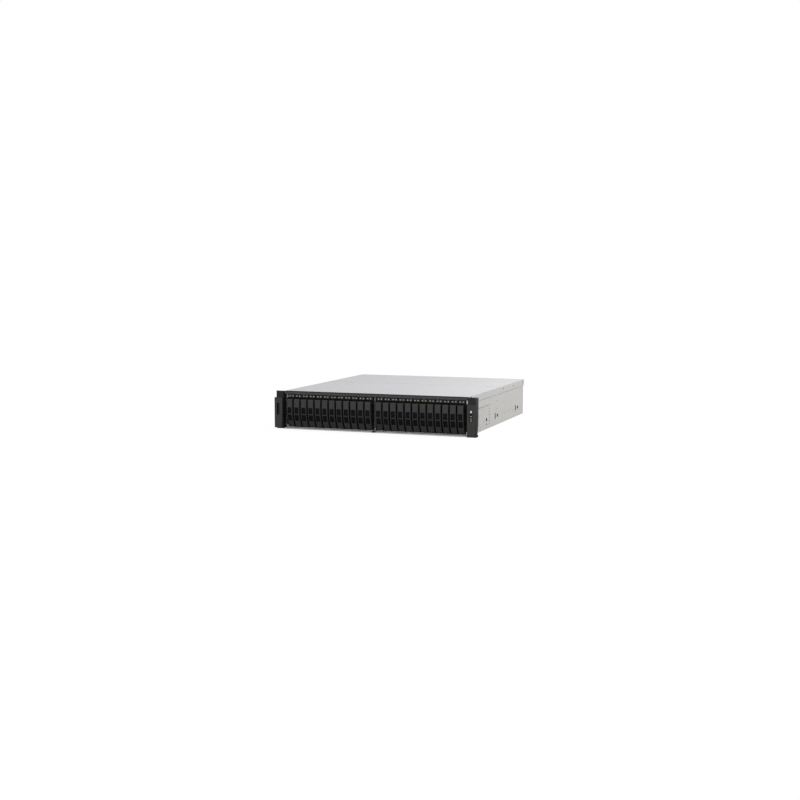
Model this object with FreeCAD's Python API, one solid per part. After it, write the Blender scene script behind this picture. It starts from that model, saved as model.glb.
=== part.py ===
"""Rack storage server, two rack units high, with 24 hot-swap drive trays across its front.

Frame: +X is to the right seen from the front, +Y runs to the rear, +Z is up.  The origin is the
centre of the four rack screw slots, on the rear face of the ear flanges, where the unit meets the
rack posts.  Lengths are in millimetres.
"""

import FreeCAD, Part
import math
import os

V = FreeCAD.Vector

# Drive that the bays are made for: 2.5 inch, 15 mm thick
DRIVE_THICK = 15.0
DRIVE_HEIGHT = 69.85
DRIVE_LENGTH = 100.45
DRIVE_PLUG_WIDTH = 5.0
DRIVE_PLUG_HEIGHT = 33.4
DRIVE_PLUG_LENGTH = 4.0

# Overall sizes; the width follows from the bays
UNIT_HEIGHT = 87.0
CHASSIS_DEPTH = 480.0
FACE_PROUD = 11.0
EAR_REACH = 21.3

# Rack screw slots: how far their middles lie inside the ears' edges
RACK_EDGE_X = 8.75
RACK_EDGE_Z = 5.4
RACK_SLOT_LENGTH = 10.0
RACK_SLOT_HEIGHT = 6.8

# Drive bays and their cage
BAYS_PER_GROUP = 12
BAY_GAP = 2.3
GROUP_SPACE = 8.2
CAGE_SIDE_GAP = 1.75
CAGE_SHEET = 1.5
CAGE_PLATE = 1.0
CAGE_TO_PAN = 1.35
CAGE_FRONT_Y = 4.0
CAGE_FLOOR_RISE = 4.0
CAGE_RIB_WIDTH = 1.0
CAGE_RIB_HEIGHT = 1.8
CAGE_RIB_INSET = 5.0
CAGE_TAB_WIDTH = 2.6
CAGE_TAB_REACH = 0.8
CAGE_TAB_SHEET = 1.0
CAGE_TAB_GAP = 0.2
TRAY_FIT_Z = 0.3

# Sheet metal of the chassis
SHEET = 1.2
COVER_SHEET = 1.0
COVER_FIT = 0.3
COVER_FLANGE = 15.8
COVER_FRONT_Y = 3.0
COVER_SEAM_Y = 259.0
COVER_SEAM = 1.0
COVER_OVERHANG = 3.5
PAN_FLANGE = 12.0
LIP_FRONT_Y = -6.0
LIP_HEIGHT = 3.0

# Slide rail fixing on each side wall: screw holes at these multiples of the pitch, and hook slots
RAIL_FIRST_Y = 141.0
RAIL_PITCH = 94.0
RAIL_STEPS = (0, 1, 3)
RAIL_RISE = 22.0
RAIL_HOLE_RADIUS = 2.2
HOOK_SLOT_BACK = 21.5
HOOK_SLOT_WIDTH = 6.0
HOOK_SLOT_HEIGHT = 14.0

# Ear brackets
EAR_SHEET = 1.5
EAR_EDGE_INSET = 2.0
EAR_CLEAR_Z = 0.2
EAR_PLATE_DEPTH = 58.0
EAR_PLATE_RISE = 3.5
EAR_ARM_LENGTH = 174.0
EAR_ARM_HEIGHT = 16.2
EAR_ARM_GAP = 0.5

# Snap-on ear caps
CAP_OVERLAP = 0.8
CAP_WALL = 2.0
CAP_LABEL_DROP = 15.0
CAP_LABEL_PROUD = 2.8
CAP_BASE_PROUD = 2.2
CAP_APRON = 2.3
CAP_APRON_GAP = 0.2
CAP_GROOVE = 0.8
CAP_OUTER_ROUND = 6.0
CAP_FOOT_RADIUS = 3.1
CAP_TAPER_RISE = 27.5
CAP_TAPER = 2.0
CAP_NOTCH_WIDTH = 2.4
CAP_NOTCH_HEIGHT = 8.4
GRIP_WIDTH = 19.8
GRIP_RISE = 2.9
GRIP_ROUND = 2.0
PILL_WIDTH = 6.4
PILL_HEIGHT = 27.6
PILL_RISE = 46.1
PILL_RIGHT_INSET = 14.3
PILL_LEFT_INSET = 10.0
PILL_LEFT_DEPTH = 2.6

# Control panel, power button and status lights
PANEL_FIT = 0.2
PANEL_RECESS = 0.8
PANEL_FLANGE = 2.0
PANEL_FLANGE_THICK = 1.2
BUTTON_OFFSET = 9.6
BUTTON_WIDTH = 4.2
BUTTON_HEIGHT = 5.8
BUTTON_FIT = 0.25
BUTTON_PROUD = 0.2
BUTTON_COLLAR = 1.0
BUTTON_COLLAR_THICK = 0.8
BUTTON_COLLAR_GAP = 0.2
LENS_COUNT = 4
LENS_PITCH = 3.5
LENS_SIDE = 1.9
LENS_FIT = 0.05
LENS_PROUD = 0.4

# Front top bar and the trims of the cage walls
BAR_HEIGHT = 7.0
BAR_SLOPE = 1.2
BAR_FRONT_Y = -3.0
BAR_STRIP = 2.0
BAR_STRIP_DEPTH = 2.5
BAR_FIT = 0.3
BAR_END_GAP = 0.6
TRIM_WIDTH = 4.2
TRIM_DEPTH = 1.5
TRIM_TOP_DROP = 15.5
TRIM_BOTTOM_RISE = 9.5
TRIM_FOOT_WIDTH = 8.4
TRIM_FOOT_THICK = 0.8

# Drive tray
TRAY_SIDE = 0.3
TRAY_PLATE_Y = 6.0
TRAY_PLATE = 1.5
TRAY_RAIL = 1.5
TRAY_RAIL_SHORT = 8.45
TRAY_HEAD_FRONT_Y = 0.5
TRAY_HEAD_HEIGHT = 6.2
TRAY_WINDOW_INSET = 2.3
DRIVE_FRONT_GAP = 0.5
DRIVE_SEAT = 0.15
LUG_THICK = 1.0
LUG_HEIGHT = 5.6
LED_SPACING = 7.1
LED_WIDTH = 3.0
LED_HEIGHT = 3.2
LED_PROUD = 0.4

# Tray handle: a bowed channel that swings on a pin at its foot
HANDLE_LUG_GAP = 0.2
HANDLE_GAP = 3.6
HANDLE_BEND_RISE = 46.5
HANDLE_BOW_RADIUS = 72.0
HANDLE_BOW_FLATS = 4
HANDLE_DEPTH = 7.0
HANDLE_SKIN = 2.0
HANDLE_SIDE = 1.3
EYE_RADIUS = 2.2
EYE_RISE = 7.3
PIN_RADIUS = 1.0
PIN_FIT = 0.05
PIN_LUG_FIT = 0.02
POCKET_RISE = 5.0
GRILLE_MARGIN = 1.7
GRILLE_TOP_RISE = 50.4
GRILLE_WINDOWS = 2
GRILLE_SLOTS = 3
GRILLE_SLOT_HEIGHT = 4.1
GRILLE_BAR = 1.0
GRILLE_DIVIDER = 2.3

# Backplane board
BOARD = 2.4
SOCKET_DEPTH = 6.0
SOCKET_FIT = 0.6
SOCKET_GAP = 0.4
AIR_SLOT_WIDTH = 26.0
AIR_SLOT_HEIGHT = 10.8
AIR_SLOT_DROP = 1.2

# Fan wall
FAN_COUNT = 3
FAN_PITCH = 112.0
FAN_SIDE = 80.0
FAN_DEPTH = 38.0
FAN_WALL = 2.5
FAN_AIR_GAP = 40.75
FAN_WINDOW_INSET = 5.0
FAN_STRUTS = 3
FAN_STRUT_WIDTH = 5.0
FAN_STRUT_DEPTH = 4.0
FAN_SEAT = 0.3
HUB_RADIUS = 17.0
HUB_SIDES = 16
HUB_INSET = 4.0
HUB_GAP = 0.6
SHAFT_RADIUS = 2.0
SHAFT_FIT = 0.06
SHAFT_LENGTH = 22.0
BLADE_COUNT = 5
BLADE_TIP_GAP = 1.0
BLADE_CHORD = 26.0
BLADE_THICK = 1.6
BLADE_PITCH = math.radians(40)

# Main board and what stands on it
MAIN_FAN_GAP = 16.8
MAIN_REAR_GAP = 1.6
MAIN_LEFT_GAP = 10.95
MAIN_RIGHT_GAP = 21.5
MAIN_BOARD = 1.6
STANDOFF_HEIGHT = 6.0
STANDOFF_RADIUS = 3.0
STANDOFF_INSET = 12.0
CPU_SETBACK = 104.0
CPU_SIDE = 75.0
CPU_HEIGHT = 8.0
SINK_WIDTH = 92.0
SINK_LENGTH = 110.0
SINK_HEIGHT = 56.0
SINK_BASE = 6.0
SINK_FINS = 15
SINK_FIN = 1.2
DIMM_PER_SIDE = 4
DIMM_LENGTH = 133.0
DIMM_HEIGHT = 31.0
DIMM_THICK = 3.6
DIMM_PITCH = 9.5
DIMM_GAP = 14.0
DIMM_SOCKET_HEIGHT = 7.0
DIMM_SOCKET_WIDTH = 6.5
DIMM_SOCKET_END = 7.0

# Power supplies, one above the other
PSU_WIDTH = 73.5
PSU_HEIGHT = 40.0
PSU_LENGTH = 219.0
PSU_WALL = 1.5
PSU_FIT = 0.3
PSU_PROUD = 1.0
PSU_SIDE_GAP = 3.25
PSU_CAGE_SHEET = 1.0
PSU_CAGE_AHEAD = 6.0
INLET_OFFSET = -18.0
INLET_WIDTH = 24.5
INLET_HEIGHT = 16.8
INLET_DEPTH = 17.0
INLET_WALL = 2.0
INLET_RIM = 0.8
INLET_PIN_INSET = 5.5
INLET_PIN_WIDTH = 2.0
INLET_PIN_HEIGHT = 4.0
INLET_PIN_SPACING = 7.0
INLET_PIN_RISE = 3.0
PSU_VENT_OFFSET = 17.2
PSU_VENT_SLOTS = 5
PSU_VENT_SLOT = 2.6
PSU_VENT_PITCH = 4.6
PSU_VENT_HEIGHT = 30.0
BAIL_OFFSET = 1.0
BAIL_WIDTH = 8.0
BAIL_HEIGHT = 32.0
BAIL_REACH = 22.0
BAIL_THICK = 2.5
BAIL_ROUND = 6.0
LATCH_INSET = 3.55
LATCH_WIDTH = 2.4
LATCH_HEIGHT = 11.0
LATCH_REACH = 14.0
LATCH_ROOT = 8.0
LATCH_TRAVEL = 2.0
LATCH_FIT = 0.3
LATCH_FOOT = 1.6

# Ports on the rear panel, two of each kind
PORT_PROUD = 0.4
PORT_FIT = 0.3
PORT_WALL = 1.0
PORT_PITCH = 18.0
PORT_GROUP_PITCH = 40.0
PORT_FIRST_INSET = 14.0
PORTS_PER_GROUP = 2
USB_WIDTH = 12.5
USB_HEIGHT = 5.2
USB_DEPTH = 14.0
NETWORK_WIDTH = 12.0
NETWORK_HEIGHT = 9.6
NETWORK_DEPTH = 15.0
OPTICAL_WIDTH = 13.8
OPTICAL_HEIGHT = 8.8
OPTICAL_DEPTH = 42.0

# Vents and card slots of the rear panel
VENT_SLOTS = 18
VENT_SLOT_WIDTH = 4.0
VENT_PITCH = 8.4
VENT_FIRST_INSET = 8.0
VENT_RISE = 20.7
VENT_HEIGHT = 48.0
CARD_SLOTS = 5
CARD_PITCH = 20.32
CARD_FIRST_INSET = 130.0
CARD_WINDOW_WIDTH = 12.7
CARD_WINDOW_RISE = 4.7
CARD_WINDOW_HEIGHT = 63.0
CARD_COVER_WIDTH = 18.4
CARD_COVER_MARGIN = 5.0
CARD_COVER_SHEET = 0.9
CARD_TAB = 9.0

# How far a cutter runs past the face that it cuts, and the middle of a quarter arc
OVER = 1.0
ARC_MIDDLE = 1 - math.sqrt(0.5)

# Places across the width, worked out from the middle to the ears
BAY_PITCH = DRIVE_THICK + BAY_GAP
TRAY_WIDTH = DRIVE_THICK + 2 * TRAY_SIDE
HANDLE_WIDTH = TRAY_WIDTH - 2 * LUG_THICK - 2 * HANDLE_LUG_GAP
GRILLE_WIDTH = HANDLE_WIDTH - 2 * GRILLE_MARGIN
CAGE_WALL_X = GROUP_SPACE / 2 + BAYS_PER_GROUP * BAY_PITCH + CAGE_SIDE_GAP + CAGE_SHEET / 2
PAN_FLANGE_X = CAGE_WALL_X + CAGE_SHEET / 2 + CAGE_TO_PAN
WALL_IN = PAN_FLANGE_X + SHEET
WALL_OUT = WALL_IN + SHEET
COVER_X = WALL_OUT + COVER_FIT + COVER_SHEET
EAR_OUTER_X = COVER_X + EAR_REACH
CAP_INNER_X = WALL_OUT - CAP_OVERLAP
BAR_END_X = CAP_INNER_X - BAR_END_GAP
RACK_X = EAR_OUTER_X - RACK_EDGE_X
PILL_X = EAR_OUTER_X - PILL_RIGHT_INSET
PSU_X = -(PAN_FLANGE_X - PSU_SIDE_GAP - PSU_CAGE_SHEET - PSU_FIT - PSU_WIDTH / 2)
MAIN_LEFT_X = PSU_X + PSU_WIDTH / 2 + PSU_FIT + PSU_CAGE_SHEET + MAIN_LEFT_GAP
MAIN_RIGHT_X = WALL_IN - MAIN_RIGHT_GAP

# Places up the height
BOTTOM = -UNIT_HEIGHT / 2
TOP = UNIT_HEIGHT / 2
PAN_TOP = BOTTOM + SHEET
COVER_UNDER = TOP - COVER_SHEET
COVER_FLANGE_Z = TOP - COVER_FLANGE
EAR_HALF_HEIGHT = TOP - EAR_CLEAR_Z
RACK_Z = TOP - RACK_EDGE_Z
CAP_LABEL_Z = EAR_HALF_HEIGHT - CAP_LABEL_DROP
PILL_Z = BOTTOM + PILL_RISE
BUTTON_Z = PILL_Z + BUTTON_OFFSET
CAGE_FLOOR_Z = BOTTOM + CAGE_FLOOR_RISE
BAR_BOTTOM = EAR_HALF_HEIGHT - BAR_HEIGHT
CAGE_CEILING_Z = BAR_BOTTOM - CAGE_PLATE
TRAY_BOTTOM = CAGE_FLOOR_Z + TRAY_FIT_Z
TRAY_TOP = CAGE_CEILING_Z - TRAY_FIT_Z
HANDLE_TOP = TRAY_TOP - TRAY_HEAD_HEIGHT - HANDLE_GAP
HANDLE_BEND_Z = BOTTOM + HANDLE_BEND_RISE
GRILLE_TOP_Z = BOTTOM + GRILLE_TOP_RISE
GRILLE_ROWS = GRILLE_SLOTS * GRILLE_SLOT_HEIGHT + (GRILLE_SLOTS - 1) * GRILLE_BAR
GRILLE_LOW_Z = GRILLE_TOP_Z - GRILLE_WINDOWS * GRILLE_ROWS - (GRILLE_WINDOWS - 1) * GRILLE_DIVIDER
EYE_Z = BOTTOM + EYE_RISE
DRIVE_BOTTOM = TRAY_BOTTOM + TRAY_RAIL + DRIVE_SEAT
DRIVE_MID_Z = DRIVE_BOTTOM + DRIVE_HEIGHT / 2
FAN_Z = PAN_TOP + FAN_SEAT + FAN_SIDE / 2
MAIN_TOP_Z = PAN_TOP + STANDOFF_HEIGHT + MAIN_BOARD
PSU_SHELF_Z = PAN_TOP + PSU_FIT + PSU_HEIGHT + PSU_FIT
CARD_WINDOW_LOW = MAIN_TOP_Z + CARD_WINDOW_RISE
CARD_WINDOW_HIGH = CARD_WINDOW_LOW + CARD_WINDOW_HEIGHT

# Places along the depth
FACE_Y = -FACE_PROUD
TRAY_BACK_Y = TRAY_PLATE_Y + TRAY_PLATE
BOW_CENTRE_Y = FACE_Y + HANDLE_BOW_RADIUS
EYE_Y = BOW_CENTRE_Y - math.sqrt((HANDLE_BOW_RADIUS - EYE_RADIUS) ** 2 - (HANDLE_BEND_Z - EYE_Z) ** 2)
DRIVE_FRONT_Y = TRAY_BACK_Y + DRIVE_FRONT_GAP
DRIVE_REAR_Y = DRIVE_FRONT_Y + DRIVE_LENGTH
TRAY_RAIL_END = TRAY_BACK_Y + DRIVE_LENGTH - TRAY_RAIL_SHORT
BOARD_Y = DRIVE_REAR_Y + SOCKET_GAP + SOCKET_DEPTH
FAN_PLATE_Y = BOARD_Y + BOARD + FAN_AIR_GAP
FAN_FRONT_Y = FAN_PLATE_Y + SHEET
FAN_REAR_Y = FAN_FRONT_Y + FAN_DEPTH
MAIN_FRONT_Y = FAN_REAR_Y + MAIN_FAN_GAP
PANEL_INSIDE_Y = CHASSIS_DEPTH - SHEET
MAIN_REAR_Y = PANEL_INSIDE_Y - MAIN_REAR_GAP
CPU_Y = MAIN_FRONT_Y + CPU_SETBACK
PSU_REAR_Y = CHASSIS_DEPTH + PSU_PROUD
PSU_FRONT_Y = PSU_REAR_Y - PSU_LENGTH


def box(x0, x1, y0, y1, z0, z1):
    """Box between two corners."""
    return Part.makeBox(x1 - x0, y1 - y0, z1 - z0, V(x0, y0, z0))


def bar(x, width, y0, y1, z0, z1):
    """Box that stands evenly about a plane of constant x."""
    return box(x - width / 2, x + width / 2, y0, y1, z0, z1)


def rod_x(radius, x0, x1, y, z):
    """Round rod along X."""
    return Part.makeCylinder(radius, x1 - x0, V(x0, y, z), V(1, 0, 0))


def rod_y(radius, x, y0, y1, z):
    """Round rod along Y."""
    return Part.makeCylinder(radius, y1 - y0, V(x, y0, z), V(0, 1, 0))


def drum(radius, sides, x, y0, y1, z):
    """Straight-sided drum along Y, its corners on a circle."""
    step = 2 * math.pi / sides
    corners = [
        V(x + radius * math.cos(n * step), y0, z + radius * math.sin(n * step)) for n in range(sides)
    ]
    return slab(corners, V(0, y1 - y0, 0))


def line(a, b):
    """Straight edge."""
    return Part.LineSegment(a, b).toShape()


def arc(a, through, b):
    """Round edge through three points."""
    return Part.Arc(a, through, b).toShape()


def prism(edges, direction):
    """Solid swept along a direction from a closed outline of edges."""
    return Part.Face(Part.Wire(edges)).extrude(direction)


def slab(points, direction):
    """Solid swept along a direction from a closed outline of straight sides."""
    return Part.Face(Part.makePolygon(points + points[:1])).extrude(direction)


def cut_all(shape, tools):
    """Shape less every tool."""
    return shape.cut(Part.makeCompound(tools))


def fuse_all(first, others):
    """One solid from touching pieces."""
    return first.multiFuse(others).removeSplitter()


def mirrored(shape):
    """The same piece on the other side of the middle plane."""
    return shape.mirror(V(0, 0, 0), V(1, 0, 0))


def pill(x, z, width, height, y0, y1):
    """Upright bar with round ends, along Y."""
    radius = width / 2
    reach = height / 2 - radius
    left, right = x - radius, x + radius
    top, low = z + reach, z - reach
    outline = [
        line(V(left, y0, low), V(left, y0, top)),
        arc(V(left, y0, top), V(x, y0, top + radius), V(right, y0, top)),
        line(V(right, y0, top), V(right, y0, low)),
        arc(V(right, y0, low), V(x, y0, low - radius), V(left, y0, low)),
    ]
    return prism(outline, V(0, y1 - y0, 0))


def rack_slot(x, z):
    """Cutter of one rack slot: a level bar with round ends through the ear flange."""
    shape = pill(0, 0, RACK_SLOT_HEIGHT, RACK_SLOT_LENGTH, -EAR_SHEET - OVER, OVER)
    shape.rotate(V(0, 0, 0), V(0, 1, 0), 90)
    return shape.translated(V(x, 0, z))


def bay_x(index):
    """Middle of a drive bay, counted from the left."""
    group, place = divmod(index, BAYS_PER_GROUP)
    start = GROUP_SPACE / 2 if group else -GROUP_SPACE / 2 - BAYS_PER_GROUP * BAY_PITCH
    return start + (place + 0.5) * BAY_PITCH


def base_pan():
    """Bottom sheet with a folded flange along each side and a low lip under the trays."""
    pan = box(-WALL_IN, WALL_IN, COVER_FRONT_Y, CHASSIS_DEPTH, BOTTOM, PAN_TOP)
    tongue = box(-BAR_END_X, BAR_END_X, LIP_FRONT_Y, COVER_FRONT_Y, BOTTOM, PAN_TOP)
    lip = box(-BAR_END_X, BAR_END_X, LIP_FRONT_Y, LIP_FRONT_Y + SHEET, BOTTOM, BOTTOM + LIP_HEIGHT)
    flange = box(PAN_FLANGE_X, WALL_IN, CAGE_FRONT_Y, PANEL_INSIDE_Y, PAN_TOP, PAN_TOP + PAN_FLANGE)
    return fuse_all(pan, [tongue, lip, flange, mirrored(flange)])


def right_side_wall():
    """Side sheet with the slide rail's screw holes and hook slots."""
    wall = box(WALL_IN, WALL_OUT, COVER_FRONT_Y, CHASSIS_DEPTH, BOTTOM, COVER_UNDER)
    z = BOTTOM + RAIL_RISE
    through = (WALL_IN - OVER, WALL_OUT + OVER)
    cutters = []
    for step in RAIL_STEPS:
        y = RAIL_FIRST_Y + step * RAIL_PITCH
        cutters.append(rod_x(RAIL_HOLE_RADIUS, *through, y, z))
        if step:
            slot_y = y - HOOK_SLOT_BACK
            low, high = z - HOOK_SLOT_HEIGHT / 2, z + HOOK_SLOT_HEIGHT / 2
            cutters.append(box(*through, slot_y, slot_y + HOOK_SLOT_WIDTH, low, high))
    return cut_all(wall, cutters)


def cover(front_y, rear_y):
    """Top sheet with a flange folded down outside each side wall."""
    sheet = box(-COVER_X, COVER_X, front_y, rear_y, COVER_UNDER, TOP)
    flange = box(COVER_X - COVER_SHEET, COVER_X, front_y, rear_y, COVER_FLANGE_Z, COVER_UNDER)
    return fuse_all(sheet, [flange, mirrored(flange)])


def right_ear_bracket():
    """Folded ear: the rack flange, a side plate, and a long arm along the chassis side."""
    arm_top = COVER_FLANGE_Z - EAR_ARM_GAP
    arm_low = arm_top - EAR_ARM_HEIGHT
    plate_low = BOTTOM + EAR_PLATE_RISE
    flange_edge = EAR_OUTER_X - EAR_EDGE_INSET
    flange = box(WALL_OUT, flange_edge, -EAR_SHEET, 0, -EAR_HALF_HEIGHT, EAR_HALF_HEIGHT)
    outline = [
        V(WALL_OUT, 0, plate_low),
        V(WALL_OUT, EAR_PLATE_DEPTH, plate_low),
        V(WALL_OUT, EAR_PLATE_DEPTH, arm_low),
        V(WALL_OUT, EAR_ARM_LENGTH, arm_low),
        V(WALL_OUT, EAR_ARM_LENGTH, arm_top),
        V(WALL_OUT, 0, arm_top),
    ]
    side = slab(outline, V(EAR_SHEET, 0, 0))
    slots = [rack_slot(RACK_X, z) for z in (-RACK_Z, RACK_Z)]
    return cut_all(fuse_all(flange, [side]), slots)


def cap_block(inner_x, outer_x, front_y, low, high, inner_round, outer_round):
    """Block in front of the ear flange whose two upright front edges are rounded."""
    back = -EAR_SHEET
    near, far = ARC_MIDDLE * inner_round, ARC_MIDDLE * outer_round
    outline = [
        line(V(inner_x, back, low), V(outer_x, back, low)),
        line(V(outer_x, back, low), V(outer_x, front_y + outer_round, low)),
        arc(V(outer_x, front_y + outer_round, low),
            V(outer_x - far, front_y + far, low),
            V(outer_x - outer_round, front_y, low)),
        line(V(outer_x - outer_round, front_y, low), V(inner_x + inner_round, front_y, low)),
        arc(V(inner_x + inner_round, front_y, low),
            V(inner_x + near, front_y + near, low),
            V(inner_x, front_y + inner_round, low)),
        line(V(inner_x, front_y + inner_round, low), V(inner_x, back, low)),
    ]
    return prism(outline, V(0, 0, high - low))


def cap_waist():
    """What is cut from the right cap's outer edge: a taper that ends above its round foot."""
    foot_z = -EAR_HALF_HEIGHT + CAP_FOOT_RADIUS
    taper_z = BOTTOM + CAP_TAPER_RISE
    front = FACE_Y - OVER
    beyond_x = EAR_OUTER_X + OVER
    beyond_z = -EAR_HALF_HEIGHT - OVER
    outline = [
        V(beyond_x, front, taper_z),
        V(EAR_OUTER_X, front, taper_z),
        V(EAR_OUTER_X - CAP_TAPER, front, foot_z),
        V(EAR_OUTER_X - CAP_TAPER, front, beyond_z),
        V(beyond_x, front, beyond_z),
    ]
    return slab(outline, V(0, FACE_PROUD + OVER, 0))


def cap_apron(high):
    """Thin apron that closes the space between the right cap and the drive cage, up to a height."""
    low = PAN_TOP + CAP_APRON_GAP
    return box(CAP_INNER_X - CAP_APRON, CAP_INNER_X, -CAP_BASE_PROUD, -EAR_SHEET, low, high)


def right_ear_cap():
    """Snap-on cover of the right ear: a hollow shell with the control panel's opening."""
    half = EAR_HALF_HEIGHT
    outer = cap_block(CAP_INNER_X, EAR_OUTER_X, FACE_Y, -half, half, CAP_GROOVE, CAP_OUTER_ROUND)
    foot = rod_y(CAP_FOOT_RADIUS, EAR_OUTER_X - CAP_FOOT_RADIUS, FACE_Y + CAP_OUTER_ROUND, -EAR_SHEET,
                 -half + CAP_FOOT_RADIUS)
    hollow = box(CAP_INNER_X + CAP_WALL, EAR_OUTER_X - CAP_TAPER - CAP_WALL, FACE_Y + CAP_WALL, -EAR_SHEET,
                 -half + CAP_WALL, half - CAP_WALL)
    groove = box(CAP_INNER_X - OVER, EAR_OUTER_X + OVER, FACE_Y - OVER, FACE_Y + CAP_GROOVE,
                 CAP_LABEL_Z - CAP_GROOVE, CAP_LABEL_Z)
    notch = box(CAP_INNER_X - OVER, CAP_INNER_X + CAP_NOTCH_WIDTH, FACE_Y - OVER, -EAR_SHEET + OVER,
                CAP_LABEL_Z, CAP_LABEL_Z + CAP_NOTCH_HEIGHT)
    window = pill(PILL_X, PILL_Z, PILL_WIDTH, PILL_HEIGHT, FACE_Y - OVER, FACE_Y + CAP_WALL + OVER)
    shell = cut_all(outer.cut(cap_waist()).fuse(foot), [hollow, groove, notch, window])
    return fuse_all(shell, [cap_apron(CAP_LABEL_Z)])


def left_ear_cap():
    """Snap-on cover of the left ear: a thin base, a label plate, and a raised grip with a blank pill recess."""
    half = EAR_HALF_HEIGHT
    base_x = (-EAR_OUTER_X + EAR_EDGE_INSET, -CAP_INNER_X)
    grip_x = (-EAR_OUTER_X, -EAR_OUTER_X + GRIP_WIDTH)
    grip_z = (BOTTOM + GRIP_RISE, CAP_LABEL_Z)
    pill_x = -EAR_OUTER_X + PILL_LEFT_INSET
    base = box(*base_x, -CAP_BASE_PROUD, -EAR_SHEET, -half, half)
    label = box(base_x[0], grip_x[1], -CAP_LABEL_PROUD, -EAR_SHEET, CAP_LABEL_Z, half)
    grip = cap_block(*grip_x, FACE_Y, *grip_z, GRIP_ROUND, GRIP_ROUND)
    grip_hollow = box(grip_x[0] + CAP_WALL, grip_x[1] - CAP_WALL, FACE_Y + CAP_WALL, -EAR_SHEET,
                      grip_z[0] + CAP_WALL, grip_z[1] - CAP_WALL)
    well_end = FACE_Y + PILL_LEFT_DEPTH + CAP_WALL
    well = pill(pill_x, PILL_Z, PILL_WIDTH + CAP_WALL, PILL_HEIGHT + CAP_WALL, FACE_Y + CAP_WALL, well_end)
    recess = pill(pill_x, PILL_Z, PILL_WIDTH, PILL_HEIGHT, FACE_Y - OVER, FACE_Y + PILL_LEFT_DEPTH)
    solid = base.multiFuse([label, grip, mirrored(cap_apron(BAR_BOTTOM - CAP_APRON_GAP))])
    shell = solid.cut(grip_hollow)
    return shell.fuse(well.common(solid)).cut(recess).removeSplitter()


def lens_block(index, side, y0, y1):
    """Square block at one status light, counted downwards from the panel's middle."""
    z = PILL_Z - index * LENS_PITCH
    return bar(PILL_X, side, y0, y1, z - side / 2, z + side / 2)


def control_panel():
    """Dark pill-shaped insert, held behind the right cap's skin, with button and lens holes."""
    back_y = FACE_Y + CAP_WALL
    flange_y = back_y + PANEL_FLANGE_THICK
    nose = pill(PILL_X, PILL_Z, PILL_WIDTH - 2 * PANEL_FIT, PILL_HEIGHT - 2 * PANEL_FIT,
                FACE_Y + PANEL_RECESS, back_y)
    half_z = PILL_HEIGHT / 2 + PANEL_FLANGE
    flange = bar(PILL_X, PILL_WIDTH + 2 * PANEL_FLANGE, back_y, flange_y, PILL_Z - half_z, PILL_Z + half_z)
    through = (FACE_Y - OVER, flange_y + OVER)
    cutters = [pill(PILL_X, BUTTON_Z, BUTTON_WIDTH + 2 * BUTTON_FIT, BUTTON_HEIGHT + 2 * BUTTON_FIT, *through)]
    cutters += [lens_block(n, LENS_SIDE + 2 * LENS_FIT, *through) for n in range(LENS_COUNT)]
    return cut_all(nose.fuse(flange), cutters)


def status_lenses():
    """Clear lenses of the status lights, as a group."""
    front = FACE_Y + PANEL_RECESS - LENS_PROUD
    back = FACE_Y + CAP_WALL + PANEL_FLANGE_THICK
    return Part.makeCompound([lens_block(n, LENS_SIDE, front, back) for n in range(LENS_COUNT)])


def power_button():
    """Upright push button with round ends and a collar that keeps it behind the panel."""
    front = FACE_Y - BUTTON_PROUD
    collar_front = FACE_Y + CAP_WALL + PANEL_FLANGE_THICK + BUTTON_COLLAR_GAP
    collar_back = collar_front + BUTTON_COLLAR_THICK
    head = pill(PILL_X, BUTTON_Z, BUTTON_WIDTH, BUTTON_HEIGHT, front, collar_front)
    collar = pill(PILL_X, BUTTON_Z, BUTTON_WIDTH + 2 * BUTTON_COLLAR, BUTTON_HEIGHT + 2 * BUTTON_COLLAR,
                  collar_front, collar_back)
    return head.fuse(collar)


def front_top_bar():
    """Moulded bar over the bays: a strip set back along its top, and a face leaning out towards the foot."""
    back = COVER_FRONT_Y - BAR_FIT
    foot = BAR_FRONT_Y - BAR_SLOPE
    strip_y = BAR_FRONT_Y + BAR_STRIP_DEPTH
    strip_z = EAR_HALF_HEIGHT - BAR_STRIP
    outline = [
        V(-BAR_END_X, BAR_FRONT_Y, strip_z),
        V(-BAR_END_X, strip_y, strip_z),
        V(-BAR_END_X, strip_y, EAR_HALF_HEIGHT),
        V(-BAR_END_X, back, EAR_HALF_HEIGHT),
        V(-BAR_END_X, back, BAR_BOTTOM),
        V(-BAR_END_X, foot, BAR_BOTTOM),
        V(-BAR_END_X, foot, BAR_BOTTOM + BAR_SLOPE),
    ]
    return slab(outline, V(2 * BAR_END_X, 0, 0))


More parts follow.
